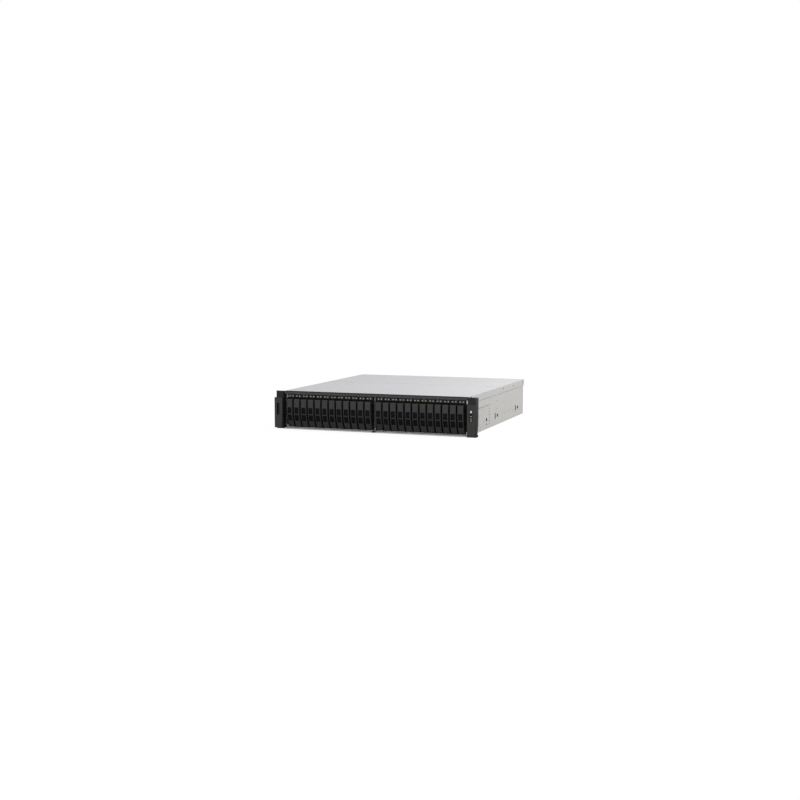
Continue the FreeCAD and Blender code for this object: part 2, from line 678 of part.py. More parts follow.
def drive_cage():
    """Sheets of the drive cage: three walls with front tabs and, by bay group, a ribbed floor and a ceiling."""
    half = CAGE_SHEET / 2
    depth = (CAGE_FRONT_Y, BOARD_Y)
    rib_y = (TRAY_BACK_Y + CAGE_RIB_INSET, TRAY_RAIL_END - CAGE_RIB_INSET)
    rib_z = (CAGE_FLOOR_Z, CAGE_FLOOR_Z + CAGE_RIB_HEIGHT)
    tab_y = (CAGE_FRONT_Y - CAGE_TAB_REACH, CAGE_FRONT_Y - CAGE_TAB_REACH + CAGE_TAB_SHEET)
    low_tab_z = (BOTTOM + LIP_HEIGHT + TRIM_FOOT_THICK + CAGE_TAB_GAP, BOTTOM + TRIM_BOTTOM_RISE - CAGE_TAB_GAP)
    high_tab_z = (TOP - TRIM_TOP_DROP + CAGE_TAB_GAP, CAGE_CEILING_Z - CAGE_TAB_GAP)
    sheets = []
    for x in (-CAGE_WALL_X, 0, CAGE_WALL_X):
        wall = bar(x, CAGE_SHEET, *depth, PAN_TOP, COVER_UNDER)
        tabs = [bar(x, CAGE_TAB_WIDTH, *tab_y, *tab_z) for tab_z in (low_tab_z, high_tab_z)]
        sheets.append(fuse_all(wall, tabs))
    for side in range(2):
        low_x = half if side else half - CAGE_WALL_X
        high_x = CAGE_WALL_X - half if side else -half
        bays = range(side * BAYS_PER_GROUP, (side + 1) * BAYS_PER_GROUP)
        floor = box(low_x, high_x, *depth, CAGE_FLOOR_Z - CAGE_PLATE, CAGE_FLOOR_Z)
        ribs = [bar(bay_x(index) + BAY_PITCH / 2, CAGE_RIB_WIDTH, *rib_y, *rib_z) for index in bays[:-1]]
        sheets.append(fuse_all(floor, ribs))
        sheets.append(box(low_x, high_x, *depth, CAGE_CEILING_Z, CAGE_CEILING_Z + CAGE_PLATE))
    return Part.makeCompound(sheets)


def bay_trims():
    """Dark trims on the front edges of the cage walls, and a foot on the lip below the middle one."""
    low, high = BOTTOM + TRIM_BOTTOM_RISE, TOP - TRIM_TOP_DROP
    front = CAGE_FRONT_Y - TRIM_DEPTH
    outer_x = CAGE_WALL_X - CAGE_SHEET / 2
    trims = [bar(x, TRIM_WIDTH, front, CAGE_FRONT_Y, low, high) for x in (-outer_x, 0, outer_x)]
    lip_top = BOTTOM + LIP_HEIGHT
    foot_top = lip_top + TRIM_FOOT_THICK
    toe_y = LIP_FRONT_Y - TRIM_FOOT_THICK
    tread = bar(0, TRIM_FOOT_WIDTH, toe_y, CAGE_FRONT_Y, lip_top, foot_top)
    toe = bar(0, TRIM_FOOT_WIDTH, toe_y, LIP_FRONT_Y, BOTTOM + TRIM_FOOT_THICK, lip_top)
    return Part.makeCompound(trims + [fuse_all(tread, [toe])])


def tray_carrier(with_pin_holes):
    """Tray frame at the middle plane: front plate with the light head, two rails and the pin lugs."""
    half = TRAY_WIDTH / 2
    window = TRAY_WIDTH - 2 * TRAY_WINDOW_INSET
    plate = bar(0, TRAY_WIDTH, TRAY_PLATE_Y, TRAY_BACK_Y, TRAY_BOTTOM, TRAY_TOP)
    plate = plate.cut(bar(0, window, TRAY_PLATE_Y - OVER, TRAY_BACK_Y + OVER, GRILLE_LOW_Z, GRILLE_TOP_Z))
    head = bar(0, TRAY_WIDTH, TRAY_HEAD_FRONT_Y, TRAY_PLATE_Y, TRAY_TOP - TRAY_HEAD_HEIGHT, TRAY_TOP)
    floor_rail = bar(0, TRAY_WIDTH, TRAY_BACK_Y, TRAY_RAIL_END, TRAY_BOTTOM, TRAY_BOTTOM + TRAY_RAIL)
    top_rail = bar(0, TRAY_WIDTH, TRAY_BACK_Y, TRAY_RAIL_END, TRAY_TOP - TRAY_RAIL, TRAY_TOP)
    lug = box(half - LUG_THICK, half, EYE_Y - EYE_RADIUS, TRAY_PLATE_Y, TRAY_BOTTOM, TRAY_BOTTOM + LUG_HEIGHT)
    carrier = fuse_all(plate, [head, floor_rail, top_rail, lug, mirrored(lug)])
    if with_pin_holes:
        carrier = carrier.cut(rod_x(PIN_RADIUS + PIN_LUG_FIT, -half - OVER, half + OVER, EYE_Y, EYE_Z))
    return carrier


def tray_lights():
    """The two light-pipe ends on the tray's head."""
    z = TRAY_TOP - TRAY_HEAD_HEIGHT / 2
    low, high = z - LED_HEIGHT / 2, z + LED_HEIGHT / 2
    return [
        bar(x, LED_WIDTH, TRAY_HEAD_FRONT_Y - LED_PROUD, TRAY_HEAD_FRONT_Y, low, high)
        for x in (-LED_SPACING / 2, LED_SPACING / 2)
    ]


def bow_point(radius, z):
    """Point at height z on a circle round the centre of the handle's bow."""
    return V(0, BOW_CENTRE_Y - math.sqrt(radius ** 2 - (HANDLE_BEND_Z - z) ** 2), z)


def handle_side(with_eye):
    """Outline of the handle from the side: flat above, bowed below; with no eye, in flats and a plain foot."""
    top_front = V(0, FACE_Y, HANDLE_TOP)
    top_back = V(0, FACE_Y + HANDLE_DEPTH, HANDLE_TOP)
    bend = V(0, FACE_Y, HANDLE_BEND_Z)
    eye = V(0, EYE_Y, EYE_Z)
    bow_centre = V(0, BOW_CENTRE_Y, HANDLE_BEND_Z)
    eye_front = bow_centre + (eye - bow_centre) * (HANDLE_BOW_RADIUS / (HANDLE_BOW_RADIUS - EYE_RADIUS))
    fall = (eye_front.z - HANDLE_BEND_Z) / HANDLE_BOW_FLATS
    bow = [bow_point(HANDLE_BOW_RADIUS, HANDLE_BEND_Z + n * fall) for n in range(HANDLE_BOW_FLATS + 1)]
    rise = top_back - eye
    turn = math.atan2(rise.z, rise.y) - math.acos(EYE_RADIUS / rise.Length)
    eye_back = eye + V(0, math.cos(turn), math.sin(turn)) * EYE_RADIUS
    if with_eye:
        front = [arc(bend, bow[HANDLE_BOW_FLATS // 2], eye_front)]
        foot = arc(eye_front, eye - V(0, 0, EYE_RADIUS), eye_back)
    else:
        front = [line(upper, lower) for upper, lower in zip(bow, bow[1:])]
        foot = line(bow[-1], eye_back)
    return [line(top_front, bend)] + front + [foot, line(eye_back, top_back), line(top_back, top_front)]


def handle_pocket():
    """What is hollowed out behind the handle's skin, between its side walls."""
    width = HANDLE_WIDTH - 2 * HANDLE_SIDE
    high = HANDLE_TOP - HANDLE_SKIN
    low = EYE_Z + POCKET_RISE
    back = EYE_Y + FACE_PROUD
    front = FACE_Y + HANDLE_SKIN
    outline = [
        V(-width / 2, back, high),
        V(-width / 2, front, high),
        V(-width / 2, front, HANDLE_BEND_Z),
        V(-width / 2, bow_point(HANDLE_BOW_RADIUS - HANDLE_SKIN, low).y, low),
        V(-width / 2, back, low),
    ]
    return slab(outline, V(width, 0, 0))


def grille_cutters(slots):
    """Openings of the handle's two windows, each divided by thin bars into slots."""
    slot_height = (GRILLE_ROWS + GRILLE_BAR) / slots - GRILLE_BAR
    cutters = []
    top = GRILLE_TOP_Z
    for _ in range(GRILLE_WINDOWS):
        for _ in range(slots):
            cutters.append(bar(0, GRILLE_WIDTH, FACE_Y - OVER, EYE_Y, top - slot_height, top))
            top -= slot_height + GRILLE_BAR
        top += GRILLE_BAR - GRILLE_DIVIDER
    return cutters


def tray_handle(in_full):
    """Bowed handle: a channel with two windows; in full it has the grille bars and the pin's eye."""
    handle = prism(handle_side(in_full), V(HANDLE_WIDTH, 0, 0)).translated(V(-HANDLE_WIDTH / 2, 0, 0))
    handle = handle.cut(handle_pocket())
    handle = cut_all(handle, grille_cutters(GRILLE_SLOTS if in_full else 1))
    if in_full:
        handle = handle.cut(rod_x(PIN_RADIUS + PIN_FIT, -HANDLE_WIDTH, HANDLE_WIDTH, EYE_Y, EYE_Z))
    return handle


def pivot_pin():
    """Pin of the handle, held in the tray's two lugs."""
    return rod_x(PIN_RADIUS, -TRAY_WIDTH / 2, TRAY_WIDTH / 2, EYE_Y, EYE_Z)


def drive_body():
    """Block of a solid-state drive."""
    return bar(0, DRIVE_THICK, DRIVE_FRONT_Y, DRIVE_REAR_Y, DRIVE_BOTTOM, DRIVE_BOTTOM + DRIVE_HEIGHT)


def drive():
    """Solid-state drive with the slot of its plug."""
    half = DRIVE_PLUG_HEIGHT / 2
    plug = bar(0, DRIVE_PLUG_WIDTH, DRIVE_REAR_Y - DRIVE_PLUG_LENGTH, DRIVE_REAR_Y + OVER,
               DRIVE_MID_Z - half, DRIVE_MID_Z + half)
    return drive_body().cut(plug)


def drive_backplane():
    """Board across the back of the cage, with an air slot for each two bays and a socket for each drive."""
    half = CAGE_WALL_X + CAGE_SHEET / 2
    board = box(-half, half, BOARD_Y, BOARD_Y + BOARD, CAGE_FLOOR_Z, CAGE_CEILING_Z)
    socket_width = DRIVE_PLUG_WIDTH - 2 * SOCKET_FIT
    socket_half = DRIVE_PLUG_HEIGHT / 2 - SOCKET_FIT
    low, high = DRIVE_MID_Z - socket_half, DRIVE_MID_Z + socket_half
    air_high = low - AIR_SLOT_DROP
    cutters = [
        bar(bay_x(index) + BAY_PITCH / 2, AIR_SLOT_WIDTH, BOARD_Y - OVER, BOARD_Y + BOARD + OVER,
            air_high - AIR_SLOT_HEIGHT, air_high)
        for index in range(0, 2 * BAYS_PER_GROUP, 2)
    ]
    sockets = [
        bar(bay_x(index), socket_width, DRIVE_REAR_Y + SOCKET_GAP, BOARD_Y, low, high)
        for index in range(2 * BAYS_PER_GROUP)
    ]
    return Part.makeCompound([cut_all(board, cutters)] + sockets)


def fan_x(index):
    """Middle of a fan, counted from the left."""
    return (index - (FAN_COUNT - 1) / 2) * FAN_PITCH


def fan_frame():
    """Square fan frame at the middle plane, with its bore, motor seat, struts and shaft."""
    half = FAN_SIDE / 2
    strut_y = FAN_REAR_Y - FAN_STRUT_DEPTH
    frame = bar(0, FAN_SIDE, FAN_FRONT_Y, FAN_REAR_Y, FAN_Z - half, FAN_Z + half)
    frame = frame.cut(rod_y(half - FAN_WALL, 0, FAN_FRONT_Y - OVER, FAN_REAR_Y + OVER, FAN_Z))
    motor = [
        drum(HUB_RADIUS, HUB_SIDES, 0, strut_y, FAN_REAR_Y, FAN_Z),
        rod_y(SHAFT_RADIUS, 0, strut_y - SHAFT_LENGTH, strut_y, FAN_Z),
    ]
    for n in range(FAN_STRUTS):
        strut = bar(0, FAN_STRUT_WIDTH, strut_y, FAN_REAR_Y, FAN_Z, FAN_Z + half)
        strut.rotate(V(0, 0, FAN_Z), V(0, 1, 0), n * 360 / FAN_STRUTS)
        motor.append(strut)
    return fuse_all(frame, motor)


def fan_wall():
    """Bracket across the chassis and, as separate solids, the frame of each fan on it."""
    bracket = box(-PAN_FLANGE_X, PAN_FLANGE_X, FAN_PLATE_Y, FAN_FRONT_Y, PAN_TOP, COVER_UNDER)
    window = FAN_SIDE - 2 * FAN_WINDOW_INSET
    low, high = FAN_Z - window / 2, FAN_Z + window / 2
    openings = [
        bar(fan_x(n), window, FAN_PLATE_Y - OVER, FAN_FRONT_Y + OVER, low, high) for n in range(FAN_COUNT)
    ]
    frames = [fan_frame().translated(V(fan_x(n), 0, 0)) for n in range(FAN_COUNT)]
    return Part.makeCompound([cut_all(bracket, openings)] + frames)


def fan_rotor(index):
    """Fan hub with its ring of pitched blades, bored for the shaft."""
    front = FAN_FRONT_Y + HUB_INSET
    rear = FAN_REAR_Y - FAN_STRUT_DEPTH - HUB_GAP
    tip = FAN_SIDE / 2 - FAN_WALL - BLADE_TIP_GAP
    middle = (front + rear) / 2
    chord = BLADE_CHORD / 2
    swing = chord * math.sin(BLADE_PITCH) + BLADE_THICK / 2 * math.cos(BLADE_PITCH)
    low, high = FAN_Z + HUB_RADIUS / 2, FAN_Z + math.sqrt(tip ** 2 - swing ** 2)
    hub = drum(HUB_RADIUS, HUB_SIDES, 0, front, rear, FAN_Z)
    blades = []
    for n in range(BLADE_COUNT):
        blade = bar(0, BLADE_THICK, middle - chord, middle + chord, low, high)
        blade.rotate(V(0, middle, FAN_Z), V(0, 0, 1), math.degrees(BLADE_PITCH))
        blade.rotate(V(0, middle, FAN_Z), V(0, 1, 0), n * 360 / BLADE_COUNT)
        blades.append(blade)
    bore = rod_y(SHAFT_RADIUS + SHAFT_FIT, 0, front - OVER, rear + OVER, FAN_Z)
    return hub.multiFuse(blades).cut(bore).translated(V(fan_x(index), 0, 0))


def motherboard():
    """Main board on its standoffs, with the processor socket on it."""
    under = MAIN_TOP_Z - MAIN_BOARD
    board = box(MAIN_LEFT_X, MAIN_RIGHT_X, MAIN_FRONT_Y, MAIN_REAR_Y, under, MAIN_TOP_Z)
    socket = bar(0, CPU_SIDE, CPU_Y - CPU_SIDE / 2, CPU_Y + CPU_SIDE / 2, MAIN_TOP_Z, MAIN_TOP_Z + CPU_HEIGHT)
    rows = (MAIN_FRONT_Y + STANDOFF_INSET, (MAIN_FRONT_Y + MAIN_REAR_Y) / 2, MAIN_REAR_Y - STANDOFF_INSET)
    standoffs = [
        bar(x, 2 * STANDOFF_RADIUS, y - STANDOFF_RADIUS, y + STANDOFF_RADIUS, PAN_TOP, under)
        for x in (MAIN_LEFT_X + STANDOFF_INSET, MAIN_RIGHT_X - STANDOFF_INSET)
        for y in rows
    ]
    return Part.makeCompound([board, socket] + standoffs)


def cpu_heatsink():
    """Finned block on the processor, its fins along the air flow."""
    low = MAIN_TOP_Z + CPU_HEIGHT
    high = low + SINK_HEIGHT
    y0, y1 = CPU_Y - SINK_LENGTH / 2, CPU_Y + SINK_LENGTH / 2
    pitch = (SINK_WIDTH - SINK_FIN) / (SINK_FINS - 1)
    first = (pitch - SINK_WIDTH + SINK_FIN) / 2
    gaps = [
        bar(first + n * pitch, pitch - SINK_FIN, y0 - OVER, y1 + OVER, low + SINK_BASE, high + OVER)
        for n in range(SINK_FINS - 1)
    ]
    return cut_all(bar(0, SINK_WIDTH, y0, y1, low, high), gaps)


def memory_modules():
    """Memory sticks in their sockets, a bank on each side of the processor, as a group."""
    y0, y1 = CPU_Y - DIMM_LENGTH / 2, CPU_Y + DIMM_LENGTH / 2
    ends = (y0 - DIMM_SOCKET_END, y1 + DIMM_SOCKET_END)
    foot = MAIN_TOP_Z + DIMM_SOCKET_HEIGHT
    pieces = []
    for side in (-1, 1):
        for n in range(DIMM_PER_SIDE):
            x = side * (SINK_WIDTH / 2 + DIMM_GAP + n * DIMM_PITCH)
            pieces.append(bar(x, DIMM_SOCKET_WIDTH, *ends, MAIN_TOP_Z, foot))
            pieces.append(bar(x, DIMM_THICK, y0, y1, foot, foot + DIMM_HEIGHT))
    return Part.makeCompound(pieces)


def psu_bottom(upper):
    """Underside of the upper or the lower power supply."""
    return PSU_SHELF_Z + PSU_CAGE_SHEET + PSU_FIT if upper else PAN_TOP + PSU_FIT


def psu_cage():
    """Sheets of the two power supply bays: two cheeks, a shelf between them and a roof."""
    inner = PSU_WIDTH / 2 + PSU_FIT
    outer = inner + PSU_CAGE_SHEET
    roof = psu_bottom(True) + PSU_HEIGHT + PSU_FIT
    depth = (PSU_FRONT_Y - PSU_CAGE_AHEAD, PANEL_INSIDE_Y)
    return Part.makeCompound([
        box(PSU_X - outer, PSU_X - inner, *depth, PAN_TOP, roof),
        box(PSU_X + inner, PSU_X + outer, *depth, PAN_TOP, roof),
        box(PSU_X - inner, PSU_X + inner, *depth, PSU_SHELF_Z, PSU_SHELF_Z + PSU_CAGE_SHEET),
        box(PSU_X - outer, PSU_X + outer, *depth, roof, roof + PSU_CAGE_SHEET),
    ])


def bail_side(z, inset):
    """Outline of the strap handle from the side: a U with rounded corners, drawn in by an inset."""
    x = PSU_X + BAIL_OFFSET - BAIL_WIDTH / 2
    near = PSU_REAR_Y
    far = PSU_REAR_Y + BAIL_REACH - inset
    low, high = z - BAIL_HEIGHT / 2 + inset, z + BAIL_HEIGHT / 2 - inset
    r = BAIL_ROUND - inset
    k = ARC_MIDDLE * r
    return [
        line(V(x, near, low), V(x, far - r, low)),
        arc(V(x, far - r, low), V(x, far - k, low + k), V(x, far, low + r)),
        line(V(x, far, low + r), V(x, far, high - r)),
        arc(V(x, far, high - r), V(x, far - k, high - k), V(x, far - r, high)),
        line(V(x, far - r, high), V(x, near, high)),
        line(V(x, near, high), V(x, near, low)),
    ]


def bail(z):
    """Bent strap handle on a power supply's rear face."""
    width = V(BAIL_WIDTH, 0, 0)
    return prism(bail_side(z, 0), width).cut(prism(bail_side(z, BAIL_THICK), width))


def latch_x():
    """Middle of the latch tab at rest."""
    return PSU_X + PSU_WIDTH / 2 - LATCH_INSET


def latch_slot(z):
    """Cutter of the latch's slot in the rear wall, with room for its travel."""
    half = LATCH_HEIGHT / 2 + LATCH_FIT
    reach = LATCH_WIDTH / 2 + LATCH_FIT
    return box(latch_x() - reach - LATCH_TRAVEL, latch_x() + reach, PSU_REAR_Y - PSU_WALL - OVER,
               PSU_REAR_Y + OVER, z - half, z + half)


def psu_latch(upper):
    """Coloured release tab of a power supply; it is pushed sideways, towards the handle."""
    z = psu_bottom(upper) + PSU_HEIGHT / 2
    root = PSU_REAR_Y - LATCH_ROOT
    half = LATCH_HEIGHT / 2
    tab = bar(latch_x(), LATCH_WIDTH, root, PSU_REAR_Y + LATCH_REACH, z - half, z + half)
    foot = bar(latch_x(), LATCH_WIDTH, root, PSU_REAR_Y - PSU_WALL - LATCH_FIT,
               z - half - LATCH_FOOT, z + half + LATCH_FOOT)
    return fuse_all(tab, [foot])


def inlet_block(z, grow, front, rear):
    """Block about the mains inlet's opening, grown all round by a wall."""
    half = INLET_HEIGHT / 2 + grow
    return bar(PSU_X + INLET_OFFSET, INLET_WIDTH + 2 * grow, front, rear, z - half, z + half)


def inlet_pins(z):
    """The three contact blades of the mains inlet."""
    pins = []
    for side, rise in ((-1, INLET_PIN_RISE), (0, -INLET_PIN_RISE), (1, INLET_PIN_RISE)):
        x = PSU_X + INLET_OFFSET + side * INLET_PIN_SPACING
        low = z + rise - INLET_PIN_HEIGHT / 2
        pins.append(bar(x, INLET_PIN_WIDTH, PSU_REAR_Y - INLET_DEPTH, PSU_REAR_Y - INLET_PIN_INSET,
                        low, low + INLET_PIN_HEIGHT))
    return pins


def psu_module(upper):
    """Power supply: a hollow housing with the mains inlet, vent slots, latch slot and strap handle."""
    low = psu_bottom(upper)
    high = low + PSU_HEIGHT
    z = (low + high) / 2
    housing = bar(PSU_X, PSU_WIDTH, PSU_FRONT_Y, PSU_REAR_Y, low, high)
    inside = bar(PSU_X, PSU_WIDTH - 2 * PSU_WALL, PSU_FRONT_Y + PSU_WALL, PSU_REAR_Y - PSU_WALL,
                 low + PSU_WALL, high - PSU_WALL)
    shroud = inlet_block(z, INLET_WALL, PSU_REAR_Y - INLET_DEPTH - INLET_WALL, PSU_REAR_Y + INLET_RIM)
    cutters = [inlet_block(z, 0, PSU_REAR_Y - INLET_DEPTH, PSU_REAR_Y + INLET_RIM + OVER), latch_slot(z)]
    through = (PSU_REAR_Y - PSU_WALL - OVER, PSU_REAR_Y + OVER)
    half = PSU_VENT_HEIGHT / 2
    for n in range(PSU_VENT_SLOTS):
        x = PSU_X + PSU_VENT_OFFSET + (n - (PSU_VENT_SLOTS - 1) / 2) * PSU_VENT_PITCH
        cutters.append(bar(x, PSU_VENT_SLOT, *through, z - half, z + half))
    housing = cut_all(housing.cut(inside).fuse(shroud), cutters)
    return Part.makeCompound([housing, bail(z)] + inlet_pins(z))


def ports():
    """Every port: (middle x, opening width, height, depth)."""
    kinds = (
        (USB_WIDTH, USB_HEIGHT, USB_DEPTH),
        (NETWORK_WIDTH, NETWORK_HEIGHT, NETWORK_DEPTH),
        (OPTICAL_WIDTH, OPTICAL_HEIGHT, OPTICAL_DEPTH),
    )
    first = MAIN_LEFT_X + PORT_FIRST_INSET
    return [
        (first + group * PORT_GROUP_PITCH + n * PORT_PITCH, *size)
        for group, size in enumerate(kinds)
        for n in range(PORTS_PER_GROUP)
    ]


def port_block(x, width, height, grow, front, rear):
    """Block about a port's opening, which stands on the main board, grown all round."""
    low = MAIN_TOP_Z + PORT_WALL
    return bar(x, width + 2 * grow, front, rear, low - grow, low + height + grow)


def io_ports():
    """Metal shells of the ports, open at the rear, as a group."""
    rear = CHASSIS_DEPTH + PORT_PROUD
    shells = []
    for x, width, height, depth in ports():
        shell = port_block(x, width, height, PORT_WALL, rear - depth - PORT_WALL, rear)
        shells.append(shell.cut(port_block(x, width, height, 0, rear - depth, rear + OVER)))
    return Part.makeCompound(shells)


def card_x(index):
    """Middle of a card slot, counted from the left seen from the front."""
    return MAIN_RIGHT_X - CARD_FIRST_INSET + index * CARD_PITCH


def rear_panel():
    """Rear sheet, cut for the power supplies, the ports, the card slots and the vents."""
    panel = box(-WALL_IN, WALL_IN, PANEL_INSIDE_Y, CHASSIS_DEPTH, PAN_TOP, COVER_UNDER)
    through = (PANEL_INSIDE_Y - OVER, CHASSIS_DEPTH + OVER)
    psu_width = PSU_WIDTH + 2 * PSU_FIT
    upper_low, upper_high = psu_bottom(True) - PSU_FIT, psu_bottom(True) + PSU_HEIGHT + PSU_FIT
    cutters = [
        bar(PSU_X, psu_width, *through, PAN_TOP - OVER, PSU_SHELF_Z),
        bar(PSU_X, psu_width, *through, upper_low, upper_high),
    ]
    for x, width, height, _ in ports():
        cutters.append(port_block(x, width, height, PORT_WALL + PORT_FIT, *through))
    vent_low = MAIN_TOP_Z + VENT_RISE
    for n in range(VENT_SLOTS):
        x = MAIN_LEFT_X + VENT_FIRST_INSET + n * VENT_PITCH
        cutters.append(box(x, x + VENT_SLOT_WIDTH, *through, vent_low, vent_low + VENT_HEIGHT))
    for n in range(CARD_SLOTS):
        cutters.append(bar(card_x(n), CARD_WINDOW_WIDTH, *through, CARD_WINDOW_LOW, CARD_WINDOW_HIGH))
    return cut_all(panel, cutters)


def slot_covers():
    """Blank brackets behind the card windows, each with its folded screw tab, as a group."""
    y0, y1 = PANEL_INSIDE_Y - CARD_COVER_SHEET, PANEL_INSIDE_Y
    low, high = CARD_WINDOW_LOW - CARD_COVER_MARGIN, CARD_WINDOW_HIGH + CARD_COVER_MARGIN
    covers = []
    for n in range(CARD_SLOTS):
        blank = bar(card_x(n), CARD_COVER_WIDTH, y0, y1, low, high)
        tab = bar(card_x(n), CARD_COVER_WIDTH, y1 - CARD_TAB, y1, high, high + CARD_COVER_SHEET)
        covers.append(fuse_all(blank, [tab]))
    return Part.makeCompound(covers)


def chassis_pieces():
    """Every piece of the chassis and what is fixed inside it, by name."""
    right_wall = right_side_wall()
    right_bracket = right_ear_bracket()
    return {
        "base_pan": base_pan(),
        "right_side_wall": right_wall,
        "left_side_wall": mirrored(right_wall),
        "front_top_cover": cover(COVER_FRONT_Y, COVER_SEAM_Y - COVER_SEAM / 2),
        "rear_top_cover": cover(COVER_SEAM_Y + COVER_SEAM / 2, CHASSIS_DEPTH + COVER_OVERHANG),
        "rear_panel": rear_panel(),
        "right_ear_bracket": right_bracket,
        "left_ear_bracket": mirrored(right_bracket),
        "right_ear_cap": right_ear_cap(),
        "left_ear_cap": left_ear_cap(),
        "control_panel": control_panel(),
        "status_lenses": status_lenses(),
        "power_button": power_button(),
        "front_top_bar": front_top_bar(),
        "drive_cage": drive_cage(),
        "bay_trims": bay_trims(),
        "drive_backplane": drive_backplane(),
        "fan_wall": fan_wall(),
        "motherboard": motherboard(),
        "cpu_heatsink": cpu_heatsink(),
        "memory_modules": memory_modules(),
        "psu_cage": psu_cage(),
        "psu_lower": psu_module(False),
        "psu_upper": psu_module(True),
        "psu_lower_latch": psu_latch(False),
        "psu_upper_latch": psu_latch(True),
        "io_ports": io_ports(),
        "slot_covers": slot_covers(),
    }


def in_bay(shapes, index):
    """Copies of shapes, moved from the middle plane into a bay, as one group."""
    return Part.makeCompound([shape.translated(V(bay_x(index), 0, 0)) for shape in shapes])


def tray_pieces():
    """The first tray piece by piece, and every other tray as one group."""
    pieces = {
        "drive_tray_01": in_bay([tray_carrier(True)] + tray_lights(), 0),
        "drive_tray_01_handle": in_bay([tray_handle(True)], 0),
        "drive_tray_01_pivot_pin": in_bay([pivot_pin()], 0),
        "drive_01": in_bay([drive()], 0),
    }
    group = [tray_carrier(False), tray_handle(False), drive_body()] + tray_lights()
    for index in range(1, 2 * BAYS_PER_GROUP):
        pieces[f"drive_tray_{index + 1:02d}"] = in_bay(group, index)
    return pieces


def main():
    os.makedirs("parts", exist_ok=True)
    pieces = chassis_pieces()
    pieces.update({f"fan_rotor_{n + 1}": fan_rotor(n) for n in range(FAN_COUNT)})
    pieces.update(tray_pieces())
    for name, shape in pieces.items():
        shape.exportStep(os.path.join("parts", name + ".step"))
    solids = sum(len(shape.Solids) for shape in pieces.values())
    faulty = [name for name, shape in pieces.items() if not shape.isValid()]
    print(f"{len(pieces)} nodes, {solids} solids, faulty: {faulty or 'none'}")


main()
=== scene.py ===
# %% [markdown]
# # A rack storage server with 24 drive trays
# The object is a flat steel box, two rack units high, with black plastic across its front. Twenty-four
# narrow drive trays stand side by side between two ears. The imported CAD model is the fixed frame: every
# piece made here goes where the CAD says, in metres, and rides on one of its bodies.

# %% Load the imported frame
import math
import random

import bmesh
import bpy
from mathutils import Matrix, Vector


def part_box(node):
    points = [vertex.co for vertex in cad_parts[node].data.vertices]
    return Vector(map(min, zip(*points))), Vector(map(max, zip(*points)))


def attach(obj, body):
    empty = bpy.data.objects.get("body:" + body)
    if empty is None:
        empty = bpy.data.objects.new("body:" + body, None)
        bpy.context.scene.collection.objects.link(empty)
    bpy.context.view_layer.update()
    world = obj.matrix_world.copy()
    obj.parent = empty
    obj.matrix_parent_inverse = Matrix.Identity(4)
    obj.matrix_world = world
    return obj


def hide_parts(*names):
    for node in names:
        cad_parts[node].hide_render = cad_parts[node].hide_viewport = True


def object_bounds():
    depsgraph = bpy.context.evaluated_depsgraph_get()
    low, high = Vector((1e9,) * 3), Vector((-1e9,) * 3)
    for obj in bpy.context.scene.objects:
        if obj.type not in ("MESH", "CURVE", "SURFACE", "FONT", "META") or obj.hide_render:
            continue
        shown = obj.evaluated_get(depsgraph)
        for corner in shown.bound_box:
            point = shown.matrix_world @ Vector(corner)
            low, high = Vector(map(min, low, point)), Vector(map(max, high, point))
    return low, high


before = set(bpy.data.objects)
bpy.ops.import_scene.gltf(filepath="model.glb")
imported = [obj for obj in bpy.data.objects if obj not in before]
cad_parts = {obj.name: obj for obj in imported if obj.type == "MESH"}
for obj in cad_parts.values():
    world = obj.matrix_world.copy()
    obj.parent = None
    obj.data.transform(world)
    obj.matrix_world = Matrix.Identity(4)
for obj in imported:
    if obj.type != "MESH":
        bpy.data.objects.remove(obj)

cad_low, cad_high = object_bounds()
print("CAD box from", list(cad_low), "to", list(cad_high), "with", len(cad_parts), "nodes")

# %% [markdown]
# ## Measures and colours
# The workshop drawing of such a server is in millimetres, so the sizes below are too, and one factor turns
# them into metres. Colours are written as the levels from 0 to 255 that a picture shows. A shader wants
# linear light instead, so a small function converts them by the standard curve of screens.

# %% Millimetres and picture levels
MM = 0.001


def linear(level):
    """Linear light of a picture level from 0 to 255."""
    share = level / 255
    if share <= 0.04045:
        return share / 12.92
    return ((share + 0.055) / 1.055) ** 2.4


def colour(red, green, blue, step=0):
    """Shader colour of three picture levels, each moved by a step."""
    return (*(linear(min(255, level + step)) for level in (red, green, blue)), 1.0)


def grey(level):
    """Shader colour of one grey level."""
    return colour(level, level, level)


print("half grey is", round(linear(127.5), 3), "in linear light")

# %% [markdown]
# ## Building blocks of a finish
# A real surface is never one flat colour. Sheet metal has grain, moulded plastic has the fine texture of
# its mould, and both are a little rougher in some places. Each finish below starts from one Principled
# shader, and noise in the piece's own coordinates then moves its colour, its roughness and its bump. Noise
# needs no unwrapped mesh, so the same finish fits every piece. Nodes could be wired one line at a time, but
# a small helper that adds a node with all its sockets keeps each pattern short.

# %% Start a finish and wire nodes
def shader_of(finish):
    """The finish's Principled shader."""
    return finish.node_tree.nodes["Principled BSDF"]


def new_finish(name, base, roughness, metal=0.0):
    """A material with one Principled shader."""
    finish = bpy.data.materials.new(name)
    finish.use_nodes = True
    sockets = shader_of(finish).inputs
    sockets["Base Color"].default_value = base
    sockets["Roughness"].default_value = roughness
    sockets["Metallic"].default_value = metal
    return finish


def add_node(owner, kind, sockets, **options):
    """Adds a node to a finish or the sky; each socket gets a link or a fixed value."""
    tree = owner.node_tree
    node = tree.nodes.new("ShaderNode" + kind)
    for option, value in options.items():
        setattr(node, option, value)
    for socket, value in sockets.items():
        if isinstance(value, bpy.types.NodeSocket):
            tree.links.new(value, node.inputs[socket])
        else:
            node.inputs[socket].default_value = value
    return node


def calculate(owner, operation, first, second):
    """Joins two values by one operation."""
    return add_node(owner, "Math", {0: first, 1: second}, operation=operation).outputs["Value"]


